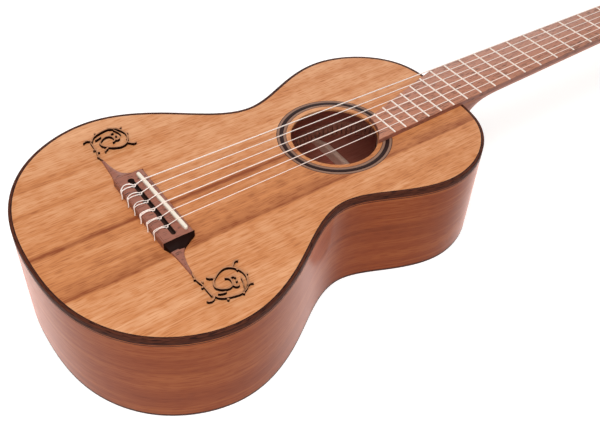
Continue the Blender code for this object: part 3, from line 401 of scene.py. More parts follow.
def wood(name, colours, sizes, weights, along_piece=False, boards=None, start=0.5, **surface):
    """Wood with its grain along Y: bands, streaks, fibres, pores and a mottled figure.

    sizes in mm and weights are for those five; stretches are how much longer than wide each is drawn.
    boards, if given, holds the tone's stops across a plate and how strong they are along it.
    """
    made, tree, shader = new_finish(name)
    if along_piece:
        where = node(tree, "ShaderNodeAttribute", attribute_name="grain").outputs["Vector"]
    else:
        where = node(tree, "ShaderNodeTexCoord").outputs["Object"]
    stretches = (14, 40, 40, 10, 1.5)
    details = (2, 3, 2, 0, 3)
    parts = [noise(tree, where, size * MM, *kind) for size, *kind in zip(sizes, stretches, details)]
    pores = node(
        tree, "ShaderNodeMapRange", {"Value": parts[3], "From Min": 0.3, "From Max": 0.48},
    ).outputs[0]
    parts[3] = pores
    tone = weighted(tree, start, list(zip(parts, weights)))
    if boards:
        across, along = boards
        place = node(tree, "ShaderNodeSeparateXYZ", {0: where}).outputs
        wander = noise(tree, where, 60 * MM, 4)
        drift = node(
            tree, "ShaderNodeMath", {0: wander, 1: 8 * MM, 2: -4 * MM}, operation="MULTIPLY_ADD",
        ).outputs[0]
        from_seam = node(tree, "ShaderNodeMath", {0: place[0], 1: drift}).outputs[0]
        step = node(tree, "ShaderNodeMath", {0: ramp_along(tree, from_seam, across), 1: -0.5}).outputs[0]
        strength = ramp_along(tree, place[1], along)
        tone = node(
            tree, "ShaderNodeMath", {0: step, 1: strength, 2: tone}, operation="MULTIPLY_ADD",
        ).outputs[0]
    shade = node(tree, "ShaderNodeValToRGB", {0: tone})
    stops_of(shade, list(zip((0.1, 0.5, 0.9), map(paint, colours))))
    tree.links.new(shade.outputs[0], shader.inputs["Base Color"])
    gloss = {"roughness": 0.4, "specular": 0.5, "bump": 0.12, "sheen": 0.0, **surface}
    rough = weighted(tree, gloss["roughness"], [(parts[1], 0.12), (pores, -0.1)])
    tree.links.new(rough, shader.inputs["Roughness"])
    relief = weighted(tree, 0.5, [(pores, 0.6), (parts[2], 0.5)])
    raised = node(
        tree, "ShaderNodeBump", {"Strength": gloss["bump"], "Distance": 0.15 * MM, "Height": relief},
    )
    tree.links.new(raised.outputs[0], shader.inputs["Normal"])
    set_shader(shader, {
        "Specular IOR Level": gloss["specular"], "Sheen Weight": gloss["sheen"], "Sheen Roughness": 0.35,
        "Sheen Tint": colour("#f7ad98"),
    })
    return made


# Tone across the soundboard, in mm from its middle to the treble side, and its strength along it
TOP_ACROSS = (
    (-138, 0.6), (-95, 0.6), (-86, 0.5), (-78, 0.48), (-74, 0.58), (-55, 0.56), (-51, 0.42), (-47, 0.54),
    (-22, 0.52), (-5, 0.44), (-1, 0.06), (4, 0.42), (16, 0.44), (40, 0.36), (50, 0.2), (52, 0.5), (60, 0.55),
    (80, 0.48), (104, 0.52), (138, 0.5),
)
TOP_ALONG = (
    (-116, 1.05), (-25, 0.95), (0, 0.8), (60, 0.6), (88, 0.6), (104, 1.1), (124, 1.0), (142, 0.5),
    (200, 0.45), (250, 0.25), (323, 0.25),
)
BACK_ACROSS = ((-140, 0.55), (-40, 0.5), (-1, 0.4), (0, 0.25), (1, 0.4), (40, 0.5), (140, 0.55))
EVEN_ALONG = ((0, 1), (1, 1))
RIB_COLOURS = ("rib_dark", "rib_middle", "rib_light")
RIB_WEIGHTS = (0.5, 0.5, 0.25, 0.12, 0.3)
KOA_SIZES = (30, 4.5, 2, 1, 40)
ROSEWOOD_SIZES = (9, 2, 1, 0.7, 20)
ROSEWOOD_WEIGHTS = (0.3, 0.5, 0.3, 0.3, 0.15)

# What wood() makes of each: its dark, middle and light colour; the widths in mm of its bands, streaks,
# fibres, pores and figure; how strong those five are; and its surface
WOODS = {
    # Koa, bookmatched and oiled to satin: honey sapwood outside a redder heart, with a dark middle streak
    "satin koa top": (
        ("top_dark", "top_middle", "top_light"), (30, 4, 1.4, 1, 13), (0.22, 0.3, 0.34, 0.14, 0.34),
        {"boards": (TOP_ACROSS, TOP_ALONG), "roughness": 0.46, "specular": 0.18},
    ),
    # Koa ribs bent with the grain along them, rubbed to a fuller gloss than the top
    "polished koa ribs": (
        RIB_COLOURS, KOA_SIZES, RIB_WEIGHTS,
        {"along_piece": True, "roughness": 0.2, "specular": 0.08, "bump": 0.03, "sheen": 0.7},
    ),
    # The same koa as the ribs, in two bookmatched boards
    "polished koa back": (
        RIB_COLOURS, KOA_SIZES, RIB_WEIGHTS,
        {"boards": (BACK_ACROSS, EVEN_ALONG), "roughness": 0.32, "specular": 0.25},
    ),
    # The inner faces of the back and ribs, planed and not finished
    "bare koa": (
        ("#934636", "#bb6d5a", "#d28c77"), KOA_SIZES, (0.3, 0.4, 0.25, 0.12, 0.2),
        {"roughness": 0.7, "specular": 0.2},
    ),
    # Mahogany, straight grained with short open pores, satin
    "satin mahogany": (
        RIB_COLOURS, (20, 3, 1.4, 0.9, 30), (0.3, 0.35, 0.25, 0.25, 0.15),
        {"roughness": 0.36, "specular": 0.3, "sheen": 0.6},
    ),
    # The bridge's rosewood, dark with coarse pores, oiled and not lacquered
    "oiled rosewood": (
        ("rosewood_dark", "rosewood_light", "rosewood_light"), ROSEWOOD_SIZES, ROSEWOOD_WEIGHTS,
        {"start": 0.45, "roughness": 0.42, "specular": 0.3, "bump": 0.2},
    ),
    # The fingerboard's rosewood, planed flat and rubbed dry, its top painted lighter and redder than the
    # bridge's as painted sheen
    "dry rosewood board": (
        ("rosewood_dark", "board", "board"), ROSEWOOD_SIZES, ROSEWOOD_WEIGHTS,
        {"start": 0.44, "roughness": 0.45, "specular": 0.3, "bump": 0.2},
    ),
    # Rosewood strips bent along the body's edges, polished with the ribs
    "polished rosewood edge": (
        ("rosewood_dark", "#5a2f20", "#5a2f20"), ROSEWOOD_SIZES, ROSEWOOD_WEIGHTS,
        {"start": 0.26, "along_piece": True, "roughness": 0.48, "specular": 0.05},
    ),
    # Bare cedar of the linings, planed and not finished
    "bare cedar": (
        ("#834536", "#bb7861", "#d69b84"), (12, 2.4, 1, 0.8, 20), (0.2, 0.4, 0.3, 0.1, 0.1),
        {"roughness": 0.7, "specular": 0.2},
    ),
    # Bare spruce of the braces and blocks, planed, with close straight year rings
    "bare spruce": (
        ("#dba68c", "#f6cdb6", "#ffe0cd"), (12, 1.8, 1, 0.8, 20), (0.15, 0.5, 0.2, 0.05, 0.1),
        {"roughness": 0.65, "specular": 0.2},
    ),
}

# What plain() makes of each: colour, roughness, and what sets it apart; grain is its marks' width in mm
PLAINS = {
    # Bone filed and polished, faintly mottled
    "polished bone": ("bone", 0.3, {"grain": 0.5, "coat": 0.2}),
    # Smooth gut-coloured string
    "plain string": ("string", 0.3, {"grain": 0.4, "specular": 0.8}),
    # Nickel silver wire, crowned and polished along the fret
    "polished fret wire": ("#fdf3e8", 0.34, {"metallic": 0.6, "grain": 0.4}),
    # Drawn brass, polished and a little tarnished
    "polished brass": ("brass", 0.28, {"metallic": 1.0, "grain": 0.35, "vary": 0.12}),
    # Dyed black wood, rubbed level with the top
    "black inlay": ("#2b1714", 0.45, {"specular": 0.08}),
    # Dark line of the rosette, rosewood rubbed level with the top
    "brown inlay": ("#4a2c25", 0.45, {"vary": 0.3, "specular": 0.15}),
    # Paler band of the rosette, walnut rubbed level with the top
    "pale inlay": ("#94705d", 0.45, {"vary": 0.2, "specular": 0.15}),
    # The flat tops of the bridge's scrolls, sawn thin and rubbed, their rosewood painted pale as painted
    # sheen on the lit tops
    "sawn rosewood": ("#c48a64", 0.45, {"grain": 0.6, "vary": 0.3, "specular": 0.1}),
    # The cut faces of the tie slot and the string holes, painted dark brown as painted shade in the recess
    "shaded rosewood": ("#3a2722", 0.5, {"grain": 0.6, "vary": 0.3, "specular": 0.1}),
    # Rosewood painted almost black as painted shade: the scrolls' sawn walls and the hollow at the block's
    # treble end
    "scorched rosewood": ("#1d0a06", 0.5, {"grain": 0.6, "vary": 0.3, "specular": 0.05}),
}


def plain(name, base, roughness, metallic=0.0, grain=0.3, coat=0.0, vary=0.06, specular=0.5):
    """A finish of one colour with fine marks left by its making, and slightly uneven in tone and gloss."""
    made, tree, shader = new_finish(name)
    where = node(tree, "ShaderNodeTexCoord").outputs["Object"]
    fine = noise(tree, where, grain * MM, 1, 2)
    broad = noise(tree, where, 12 * MM, 1, 3)
    level = weighted(tree, 1.0 - vary / 2, [(broad, vary), (fine, vary)])
    mixed = node(
        tree, "ShaderNodeMix", {0: 1.0, 6: paint(base), 7: level}, data_type="RGBA", blend_type="MULTIPLY",
    )
    tree.links.new(mixed.outputs[2], shader.inputs["Base Color"])
    rough = weighted(tree, roughness, [(fine, 0.08), (broad, 0.08)])
    tree.links.new(rough, shader.inputs["Roughness"])
    raised = node(tree, "ShaderNodeBump", {"Strength": 0.05, "Distance": 0.1 * MM, "Height": fine})
    tree.links.new(raised.outputs[0], shader.inputs["Normal"])
    set_shader(shader, {
        "Metallic": metallic, "Coat Weight": coat, "Coat Roughness": 0.15, "Specular IOR Level": specular,
    })
    return made


def wound_string(name):
    """Fine metal wire wound on a core; the turns are drawn at 0.5 mm, coarser than they are, to show, with
    painted shade in the grooves between them.
    """
    made, tree, shader = new_finish(name)
    where = node(tree, "ShaderNodeTexCoord").outputs["Object"]
    turns = node(
        tree, "ShaderNodeTexWave", {"Vector": where, "Scale": math.tau / (20 * 0.5 * MM)},
        bands_direction="Y",
    ).outputs[1]
    # Darker in the lows between turns: painted shade
    shade = node(tree, "ShaderNodeValToRGB", {0: turns})
    stops_of(shade, [(0.0, colour("#e6d3c8")), (0.6, colour("#fff1e8"))])
    tree.links.new(shade.outputs[0], shader.inputs["Base Color"])
    raised = node(tree, "ShaderNodeBump", {"Strength": 0.25, "Distance": 0.1 * MM, "Height": turns})
    tree.links.new(raised.outputs[0], shader.inputs["Normal"])
    set_shader(shader, {"Metallic": 0.15, "Roughness": 0.36})
    return made


def finish(name):
    """The finish of that name, made when the first piece asks for it."""
    made = bpy.data.materials.get(name)
    if made:
        return made
    if name in WOODS:
        *kind, surface = WOODS[name]
        return wood(name, *kind, **surface)
    if name in PLAINS:
        *kind, surface = PLAINS[name]
        return plain(name, *kind, **surface)
    return wound_string(name)


def mesh_of(name, shape):
    """The bmesh as a mesh; the bmesh is given up."""
    mesh = bpy.data.meshes.new(name)
    shape.to_mesh(mesh)
    shape.free()
    return mesh


def add_object(name, data):
    """A new object in the scene."""
    made = bpy.data.objects.new(name, data)
    bpy.context.scene.collection.objects.link(made)
    return made


def add_piece(name, shape, *materials, body="guitar", stands_for=(), slot=None, place=PLACE, sharp=35):
    """Makes a piece of a bmesh, puts it where the frame has it, and lets it ride on its body."""
    shape.transform(place)
    mesh = mesh_of(name, shape)
    mesh.shade_smooth()
    mesh.set_sharp_from_angle(angle=math.radians(sharp))
    for material in materials:
        mesh.materials.append(finish(material))
    piece = add_object(name, mesh)
    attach(piece, body)
    if stands_for:
        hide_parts(*stands_for)
    return piece


def refinish(material, *names):
    """Gives CAD nodes that keep their shape their finish."""
    for name in names:
        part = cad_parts[name]
        part.data.materials.clear()
        part.data.materials.append(finish(material))


def smooth_curve(stations, steps, closed=False):
    """Points at equal steps along the cubic spline through the stations, spaced by chord."""
    points = np.array(stations, float)
    following = np.roll(points, -1, axis=0)
    gaps = np.linalg.norm(following - points, axis=1)
    count = len(points)
    system = np.zeros((count, count))
    pull = np.zeros_like(points)
    for i in range(count):
        before, after = gaps[i - 1], gaps[i]
        into = (points[i] - points[i - 1]) / before
        out = (following[i] - points[i]) / after
        if not closed and i in (0, count - 1):
            system[i, i] = 2
            system[i, 1 if i == 0 else i - 1] = 1
            pull[i] = 3 * (out if i == 0 else into)
            continue
        system[i, i - 1] += after
        system[i, i] += 2 * (before + after)
        system[i, (i + 1) % count] += before
        pull[i] = 3 * (after * into + before * out)
    slopes = np.linalg.solve(system, pull)
    fine = []
    for i in range(count if closed else count - 1):
        j = (i + 1) % count
        for t in np.linspace(0, 1, max(24, 4 * steps // count), endpoint=False):
            fine.append(
                (2 * t**3 - 3 * t**2 + 1) * points[i] + (t**3 - 2 * t**2 + t) * gaps[i] * slopes[i]
                + (3 * t**2 - 2 * t**3) * points[j] + (t**3 - t**2) * gaps[i] * slopes[j]
            )
    fine.append(points[0] if closed else points[-1])
    fine = np.array(fine)
    run = np.concatenate([[0], np.cumsum(np.linalg.norm(np.diff(fine, axis=0), axis=1))])
    places = np.linspace(0, run[-1], steps + 1)
    even = np.stack([np.interp(places, run, fine[:, k]) for k in range(fine.shape[1])], axis=1)
    return even[:-1] if closed else even


def body_outline(inset, steps):
    """The body's outline from the tail round the treble side, drawn in by the inset."""
    half = [(x * MM, y * MM) for x, y in HALF_OUTLINE]
    points = smooth_curve(half + [(-x, y) for x, y in half[-2:0:-1]], steps, closed=True)
    along = np.roll(points, -1, axis=0) - np.roll(points, 1, axis=0)
    along /= np.linalg.norm(along, axis=1)[:, None]
    return points + np.stack([-along[:, 1], along[:, 0]], axis=1) * inset


def add_loop(shape, points):
    """A closed loop of edges through the points."""
    verts = [shape.verts.new(p) for p in points]
    return [shape.edges.new(pair) for pair in zip(verts, verts[1:] + verts[:1])]


def plate(loops, low, high):
    """A flat plate between two heights, from its outline and the outlines of its holes."""
    shape = bmesh.new()
    edges = [edge for loop in loops for edge in add_loop(shape, [(x, y, high) for x, y in loop])]
    bmesh.ops.triangle_fill(shape, use_beauty=True, edges=edges)
    grown = bmesh.ops.extrude_face_region(shape, geom=list(shape.faces), use_keep_orig=True)
    lower = [item for item in grown["geom"] if isinstance(item, bmesh.types.BMVert)]
    bmesh.ops.translate(shape, verts=lower, vec=(0, 0, low - high))
    bmesh.ops.recalc_face_normals(shape, faces=shape.faces)
    return shape


def arc(half_width, half_height, start, end, count, centre=(0.0, 0.0)):
    """Points at equal angles along part of an ellipse, both ends included."""
    return [
        (centre[0] + half_width * math.cos(a), centre[1] + half_height * math.sin(a))
        for a in np.linspace(start, end, count)
    ]


def circle(radius, steps, centre=(0.0, 0.0)):
    return arc(radius, radius, 0, math.tau, steps + 1, centre)[:-1]


def obround(half_length, half_thickness, centre, steps=12):
    """A slot's outline, long along X, with round ends."""
    points = []
    for side, start in ((1, -math.pi / 2), (-1, math.pi / 2)):
        end = (centre[0] + side * (half_length - half_thickness), centre[1])
        points += arc(half_thickness, half_thickness, start, start + math.pi, steps + 1, end)
    return points


def sweep(sections, closed=False):
    """A solid bridged through cross-sections of equally many points, which carries the grain along it."""
    shape = bmesh.new()
    grain = shape.verts.layers.float_vector.new("grain")
    loops = []
    run = 0.0
    last_middle = None
    for section in sections:
        middle = sum((Vector(p) for p in section), Vector()) / len(section)
        run += (middle - last_middle).length if last_middle else 0.0
        last_middle = middle
        loops.append(add_loop(shape, section))
        across = 0.0
        for k, edge in enumerate(loops[-1]):
            vert = edge.verts[0]
            vert[grain] = (across, run, 0.3 * (vert.co.z - middle.z))
            across += edge.calc_length()
    pairs = list(zip(loops, loops[1:])) + ([(loops[-1], loops[0])] if closed else [])
    for first, second in pairs:
        bmesh.ops.bridge_loops(shape, edges=first + second)
    if not closed:
        for loop in (loops[0], loops[-1]):
            bmesh.ops.contextual_create(shape, geom=loop)
    bmesh.ops.recalc_face_normals(shape, faces=shape.faces)
    return shape


def spun(profile, steps, centre=(0, 0, 0), closed=True):
    """A turned ring: (radius, height) points spun about the Z axis through the centre."""
    shape = bmesh.new()
    verts = [shape.verts.new((centre[0] + r, centre[1], centre[2] + z)) for r, z in profile]
    edges = [shape.edges.new(pair) for pair in zip(verts, verts[1:] + (verts[:1] if closed else []))]
    bmesh.ops.spin(
        shape, geom=verts + edges, cent=centre, axis=(0, 0, 1), angle=math.tau, steps=steps, use_merge=True,
    )
    bmesh.ops.remove_doubles(shape, verts=shape.verts, dist=0.001 * MM)
    bmesh.ops.recalc_face_normals(shape, faces=shape.faces)
    return shape


def join(*shapes):
    """One bmesh that holds all the shapes."""
    whole = bmesh.new()
    for shape in shapes:
        mesh = mesh_of("joining", shape)
        whole.from_mesh(mesh)
        bpy.data.meshes.remove(mesh)
    return whole


def cut(body, tool):
    """The bmesh left when the tool is cut from the body."""
    holders = [add_object("work", mesh_of("work", shape)) for shape in (body, tool)]
    modifier = holders[0].modifiers.new("cut", "BOOLEAN")
    modifier.operation = "DIFFERENCE"
    modifier.object = holders[1]
    evaluated = holders[0].evaluated_get(bpy.context.evaluated_depsgraph_get())
    result = bmesh.new()
    result.from_mesh(evaluated.to_mesh())
    evaluated.to_mesh_clear()
    for holder in holders:
        mesh = holder.data
        bpy.data.objects.remove(holder)
        bpy.data.meshes.remove(mesh)
    bmesh.ops.remove_doubles(result, verts=result.verts, dist=0.005 * MM)
    return result


def ease_edges(shape, offset, segments, *heights):
    """Rounds the shape's sharp edges; with heights, only those that lie level at one of them."""
    sharp = [edge for edge in shape.edges if edge.calc_face_angle(0) > 1]
    if heights:
        sharp = [
            edge for edge in sharp
            if any(all(abs(v.co.z - height) < NEAR for v in edge.verts) for height in heights)
        ]
    bmesh.ops.bevel(
        shape, geom=sharp, offset=offset, segments=segments, affect="EDGES", profile=0.5, material=-1,
    )


def eased(t):
    """A share from 0 to 1 that starts and ends gently."""
    return 3 * t**2 - 2 * t**3


def mirrored(shape):
    """The same shape on the other side of the centre line."""
    bmesh.ops.scale(shape, verts=shape.verts, vec=(-1, 1, 1))
    bmesh.ops.reverse_faces(shape, faces=shape.faces)
    return shape


def fret_y(number):
    return SCALE_LENGTH * 2 ** (-number / 12)


def board_half_width(y):
    joint = fret_y(12)
    return HALF_WIDTH_JOINT + (HALF_WIDTH_NUT - HALF_WIDTH_JOINT) * (y - joint) / (SCALE_LENGTH - joint)


def board_bass_edge(y):
    """The board's bass edge, which runs slantwise to the middle past the body joint."""
    if y >= BOARD_CUT_START:
        return -board_half_width(y)
    return -board_half_width(BOARD_CUT_START) * (y - BOARD_CUT_END) / (BOARD_CUT_START - BOARD_CUT_END)


def build_soundboard(sizes):
    """The soundboard with its soundhole and the channel for the rosette."""
    steps = sizes.circle_steps
    rim = body_outline(BINDING_WIDTH + PURFLING_WIDTH, sizes.outline_steps)
    eye = ROSETTE_RADII[-1] + 4 * MM
    shape = plate([rim, circle(eye, steps, (0, HOLE_Y))], TOP_Z - PLATE_THICKNESS, TOP_Z)
    wall = [
        face for face in shape.faces
        if all(abs(math.hypot(v.co.x, v.co.y - HOLE_Y) - eye) < NEAR for v in face.verts)
    ]
    bmesh.ops.delete(shape, geom=wall, context="FACES_ONLY")
    low, inner, outer = -PLATE_THICKNESS, ROSETTE_RADII[0], ROSETTE_RADII[-1]
    profile = [
        (eye, 0), (outer, 0), (outer, -ROSETTE_DEPTH), (inner, -ROSETTE_DEPTH), (inner, 0),
        (HOLE_RADIUS + HOLE_EASE, 0), (HOLE_RADIUS, -HOLE_EASE), (HOLE_RADIUS, low), (eye, low),
    ]
    ring = spun(profile, steps, (0, HOLE_Y, TOP_Z), closed=False)
    shape = join(shape, ring)
    bmesh.ops.remove_doubles(shape, verts=shape.verts, dist=0.02 * MM)
    bmesh.ops.recalc_face_normals(shape, faces=shape.faces)
    add_piece("soundboard_koa", shape, "satin koa top", stands_for=["soundboard"], slot="top_wood")


def build_rosette(sizes):
    """Five rings let into the top: a black one between paler bands, with a thin dark line beyond each."""
    names = ("inner_dark_line", "inner_pale_line", "black_ring", "outer_pale_line", "outer_dark_line")
    finishes = ("brown inlay", "pale inlay", "black inlay", "pale inlay", "brown inlay")
    for name, material, inner, outer in zip(names, finishes, ROSETTE_RADII, ROSETTE_RADII[1:]):
        profile = [
            (inner, -ROSETTE_DEPTH), (inner, 0), (inner + ROSETTE_EASE, ROSETTE_RISE),
            (outer - ROSETTE_EASE, ROSETTE_RISE), (outer, 0), (outer, -ROSETTE_DEPTH),
        ]
        ring = spun(profile, sizes.circle_steps, (0, HOLE_Y, TOP_Z))
        add_piece(f"rosette_{name}", ring, material, stands_for=["rosette"], slot="rosette_wood")


def rail(outer, inner, low, high, picked, rounded=0):
    """A strip between two outlines over the picked steps.

    rounded is 1 if its upper outer edge is eased and -1 if its lower one is.
    """
    edge = EDGE_ROUNDING
    sections = []
    for i in picked:
        a, b = Vector(outer[i]), Vector(inner[i])
        drawn = a + (b - a).normalized() * edge
        corner = [(a, low), (a, high)]
        if rounded > 0:
            corner = [(a, low), (a, high - edge), (a.lerp(drawn, 0.3), high - 0.3 * edge), (drawn, high)]
        if rounded < 0:
            corner = [(drawn, low), (a.lerp(drawn, 0.3), low + 0.3 * edge), (a, low + edge), (a, high)]
        sections.append([(p.x, p.y, z) for p, z in corner + [(b, high), (b, low)]])
    return sweep(sections)


def halves(steps):
    """The outline's steps along the treble side and along the bass side, each with its ends."""
    middle = steps // 2
    return (("treble", list(range(middle + 1))), ("bass", list(range(middle, steps)) + [0]))


def build_rims(sizes):
    """Ribs, bindings and the fine black lines beside them, each in a treble and a bass half."""
    steps = sizes.outline_steps
    outer = body_outline(0, steps)
    let_in = body_outline(BINDING_WIDTH, steps)
    line = body_outline(BINDING_WIDTH + PURFLING_WIDTH, steps)
    rib_inner = body_outline(RIB_THICKNESS, steps)
    skin = body_outline(-INLAY_RISE, steps)
    low, high = BACK_Z + BACK_BINDING_HEIGHT, TOP_Z - BINDING_HEIGHT
    for side, picked in halves(steps):
        rib = rail(outer, rib_inner, low, high, picked)
        grain = rib.verts.layers.float_vector["grain"]
        for face in rib.faces:
            across = sum(v[grain].x for v in face.verts) / len(face.verts)
            face.material_index = int(across > 1.25 * (high - low))
        add_piece(
            f"rib_{side}_koa", rib, "polished koa ribs", "bare koa", stands_for=[f"rib_{side}"],
            slot="rib_wood",
        )
        for kind, bottom, top, rounded in (("top", high, TOP_Z, 1), ("back", BACK_Z, low, -1)):
            binding = rail(outer, let_in, bottom, top, picked, rounded)
            add_piece(
                f"binding_{kind}_{side}", binding, "polished rosewood edge", stands_for=[f"binding_{kind}"],
                slot="binding_wood",
            )
        line_top = high - SIDE_LINE_GAP
        for name, wide, narrow, bottom, top in (
            ("purfling_top", let_in, line, TOP_Z - ROSETTE_DEPTH, TOP_Z + INLAY_RISE),
            ("side_line", skin, rib_inner, line_top - SIDE_LINE, line_top),
        ):
            strip = rail(wide, narrow, bottom, top, picked)
            add_piece(f"{name}_{side}", strip, "black inlay", slot="rosette_wood")


def build_back(sizes):
    """The flat back, polished outside and bare inside."""
    back = plate([body_outline(BINDING_WIDTH, sizes.outline_steps)], BACK_Z, BACK_Z + PLATE_THICKNESS)
    for face in back.faces:
        face.material_index = int(face.normal.z > 0.5)
    add_piece("back_koa", back, "polished koa back", "bare koa", stands_for=["back"], slot="rib_wood")


def build_neck_block():
    """The block that holds the heel, between the plates and behind the ribs."""
    end = BODY_END_Y - RIB_THICKNESS - 2 * GAP
    half, start = NECK_BLOCK
    outline = [(-half, start), (half, start), (half, end - 1.2 * MM), (0, end), (-half, end - 1.2 * MM)]
    block = plate([outline], *INSIDE)
    ease_edges(block, 1 * MM, 2)
    add_piece("neck_block_spruce", block, "bare spruce", stands_for=["neck_block"], slot="block_wood")


def build_linings(sizes):
    """Linings sawn nearly through at every kerf, so that they bend round the ribs."""
    per_kerf = 8
    steps = sizes.kerf_count * per_kerf
    against = body_outline(BINDING_WIDTH + FIT, steps)
    web = body_outline(BINDING_WIDTH + FIT + KERF_WEB, steps)
    free = body_outline(BINDING_WIDTH + FIT + LINING_WIDTH, steps)
    back_low, top_high = INSIDE
    for name, low, high, slope_low, slope_high in (
        ("top", top_high - LINING_HEIGHT, top_high, LINING_SLOPE, 0),
        ("back", back_low, back_low + LINING_HEIGHT, 0, LINING_SLOPE),
    ):
        sections = []
        for kerf in range(sizes.kerf_count):
            start = kerf * per_kerf
            for i, edge in ((start, free), (start + 6, free), (start + 6, web), (start + 7, web)):
                share = np.linalg.norm(edge[i] - against[i]) / LINING_WIDTH
                a, b = against[i], edge[i]
                sections.append((
                    (a[0], a[1], low), (a[0], a[1], high), (b[0], b[1], high - slope_high * share),
                    (b[0], b[1], low + slope_low * share),
                ))
        lining = sweep(sections, closed=True)
        add_piece(
            f"lining_{name}_kerfed", lining, "bare cedar", stands_for=[f"lining_{name}"], slot="lining_wood",
        )


def build_board():
    """The fingerboard with eased edges, cut away on the bass side and hollowed round the soundhole."""
    end_angle = math.acos(board_half_width(BOARD_TREBLE_END) / BOARD_END_RADIUS)
    outline = [(-HALF_WIDTH_NUT, SCALE_LENGTH), (board_bass_edge(BOARD_CUT_START), BOARD_CUT_START)]
    outline += arc(BOARD_END_RADIUS, BOARD_END_RADIUS, math.pi / 2, end_angle, 25, (0, HOLE_Y))
    outline.append((HALF_WIDTH_NUT, SCALE_LENGTH))
    high = TOP_Z + BOARD_THICKNESS
    board = plate([outline], TOP_Z + GAP, high)
    ease_edges(board, 0.35 * MM, 2, high)
    # The board's sides take the darker bridge rosewood as painted shade
    for face in board.faces:
        face.material_index = int(abs(face.normal.z) < 0.2)
    add_piece(
        "fingerboard_rosewood", board, "dry rosewood board", "oiled rosewood", stands_for=["fretboard"],
        slot="rosewood",
    )


def build_frets(sizes):
    """Eighteen crowned wires with their ends filed round."""
    base = TOP_Z + BOARD_THICKNESS - 0.05 * MM
    crown = arc(sizes.fret_width / 2, sizes.fret_height, 0, math.pi, 13)
    for number in range(1, FRET_COUNT + 1):
        y = fret_y(number)
        left, right = board_bass_edge(y) - 0.1 * MM, board_half_width(y) + 0.1 * MM
        ends = [(left + inward * MM, size) for inward, size in ((0, 0.35), (0.12, 0.7), (0.45, 1))]
        ends += [(left + right - x, size) for x, size in reversed(ends)]
        wire = sweep([[(x, y + a * size, base + b * size) for a, b in crown] for x, size in ends])
        add_piece(
            f"fret_wire_{number:02d}", wire, "polished fret wire", stands_for=[f"fret_{number:02d}"],
            slot="fret_wire",
        )


def heel_swell(y):
    """How far the shaft has swelled into the heel: 1 at the body, 0 past the heel."""
    return max(0.0, 1 - (y - BODY_END_Y) / HEEL_LENGTH)


def heel_depth(y):
    """The neck's depth below the soundboard's plane."""
    along = (y - BODY_END_Y) / (SCALE_LENGTH - BODY_END_Y)
    shaft = SHAFT_DEPTH_JOINT + (SHAFT_DEPTH_NUT - SHAFT_DEPTH_JOINT) * along
    return shaft + (HEEL_DEPTH - shaft) * heel_swell(y) ** 3.2


def neck_section(y, width, depth, squareness, top):
    """Half a superellipse under a flat top."""
    points = []
    for c, s in arc(1, 1, 0, math.pi, 41):
        points.append((
            width * math.copysign(abs(c) ** (2 / squareness), c), y, top - depth * abs(s) ** (2 / squareness),
        ))
    return points


def build_shaft():
    """The shaft, its heel against the body and its widening into the head."""
    sections = []
    stations = [BODY_END_Y - HEEL_INLET]
    stations += [BODY_END_Y + HEEL_LENGTH * t**1.5 for t in np.linspace(0, 1, 22)]
    stations += list(np.linspace(BODY_END_Y + HEEL_LENGTH + 20 * MM, HEAD_Y - SHAFT_THICKENING, 10))
    for y in stations:
        near = max(y, BODY_END_Y)
        squareness = SHAFT_SQUARENESS + (HEEL_SQUARENESS - SHAFT_SQUARENESS) * heel_swell(near)
        sections.append(neck_section(y, board_half_width(y), heel_depth(near), squareness, TOP_Z))
    for t in np.linspace(0.15, 1, 7):
        y = HEAD_Y - SHAFT_THICKENING * (1 - t)
        depth = SHAFT_DEPTH_NUT + (SHAFT_DEPTH_HEAD - SHAFT_DEPTH_NUT) * t**2
        width = board_half_width(min(y, SCALE_LENGTH))
        sections.append(neck_section(y, width, depth, SHAFT_SQUARENESS + 2 * t**2, TOP_Z))
    for u in (3 * MM, 8 * MM, 14 * MM):
        top = TOP_Z - u * math.tan(HEAD_TILT) - 0.2 * MM
        depth = HEAD_THICKNESS + 0.4 * MM - u * 0.02
        sections.append(neck_section(HEAD_Y + u, head_half_width(u) - 0.2 * MM, depth, 4.4, top))
    shaft = sweep(sections)
    add_piece("neck_shaft", shaft, "satin mahogany", stands_for=["neck"], slot="neck_wood", sharp=50)


def build_nut():
    """A bone nut with a rounded front edge and a round-bottomed notch for each string."""
    high = STRING_HEIGHT_NUT + 0.6 * MM
    front, rear = SCALE_LENGTH + GAP, HEAD_Y - GAP
    profile = [
        (front, GAP), (front, high - 0.5 * MM), (front + 0.5 * MM, high), (HEAD_Y - 2 * MM, high - 0.2 * MM),
        (rear, high - 1.8 * MM), (rear, GAP),
    ]
    nut = prism_along_x([(y, TOP_Z + z) for y, z in profile], -HALF_WIDTH_NUT, HALF_WIDTH_NUT)
    for index, diameter in enumerate(STRING_DIAMETERS):
        reach = diameter / 2 + 0.1 * MM
        x, z = string_x(index, SPACING_NUT), TOP_Z + STRING_HEIGHT_NUT
        notch = arc(reach, reach, -math.pi, 0, 9, (x, z)) + [(x + reach, z + 3 * MM), (x - reach, z + 3 * MM)]
        tool = sweep([[(p, y, q) for p, q in notch] for y in (SCALE_LENGTH - 1 * MM, HEAD_Y + 1 * MM)])
        nut = cut(nut, tool)
    add_piece("nut_bone", nut, "polished bone", stands_for=["nut"], slot="bone", sharp=25)


def head_half_width(u):
    """Half the head's width where it flares from the nut to the slots."""
    return HALF_WIDTH_NUT + (HEAD_HALF - HALF_WIDTH_NUT) * eased(u / SLOT_START)


def head_outline():
    """The head flares from the nut, runs straight along the slots and ends in a low arch."""
    flare = [(head_half_width(u), u) for u in np.linspace(0, SLOT_START, 16)]
    turn = (HEAD_HALF - SHOULDER_RADIUS, HEAD_LENGTH - SHOULDER_DROP)
    shoulder = arc(SHOULDER_RADIUS, SHOULDER_RADIUS, 0, math.pi / 2, 10, turn)
    arch = arc(ARCH_HALF, ARCH_RISE, 0, math.pi / 2, 14, (0, HEAD_LENGTH - ARCH_RISE))
    right = flare + shoulder + arch[:-1]
    return right + [(0.0, HEAD_LENGTH)] + [(-x, u) for x, u in reversed(right)]


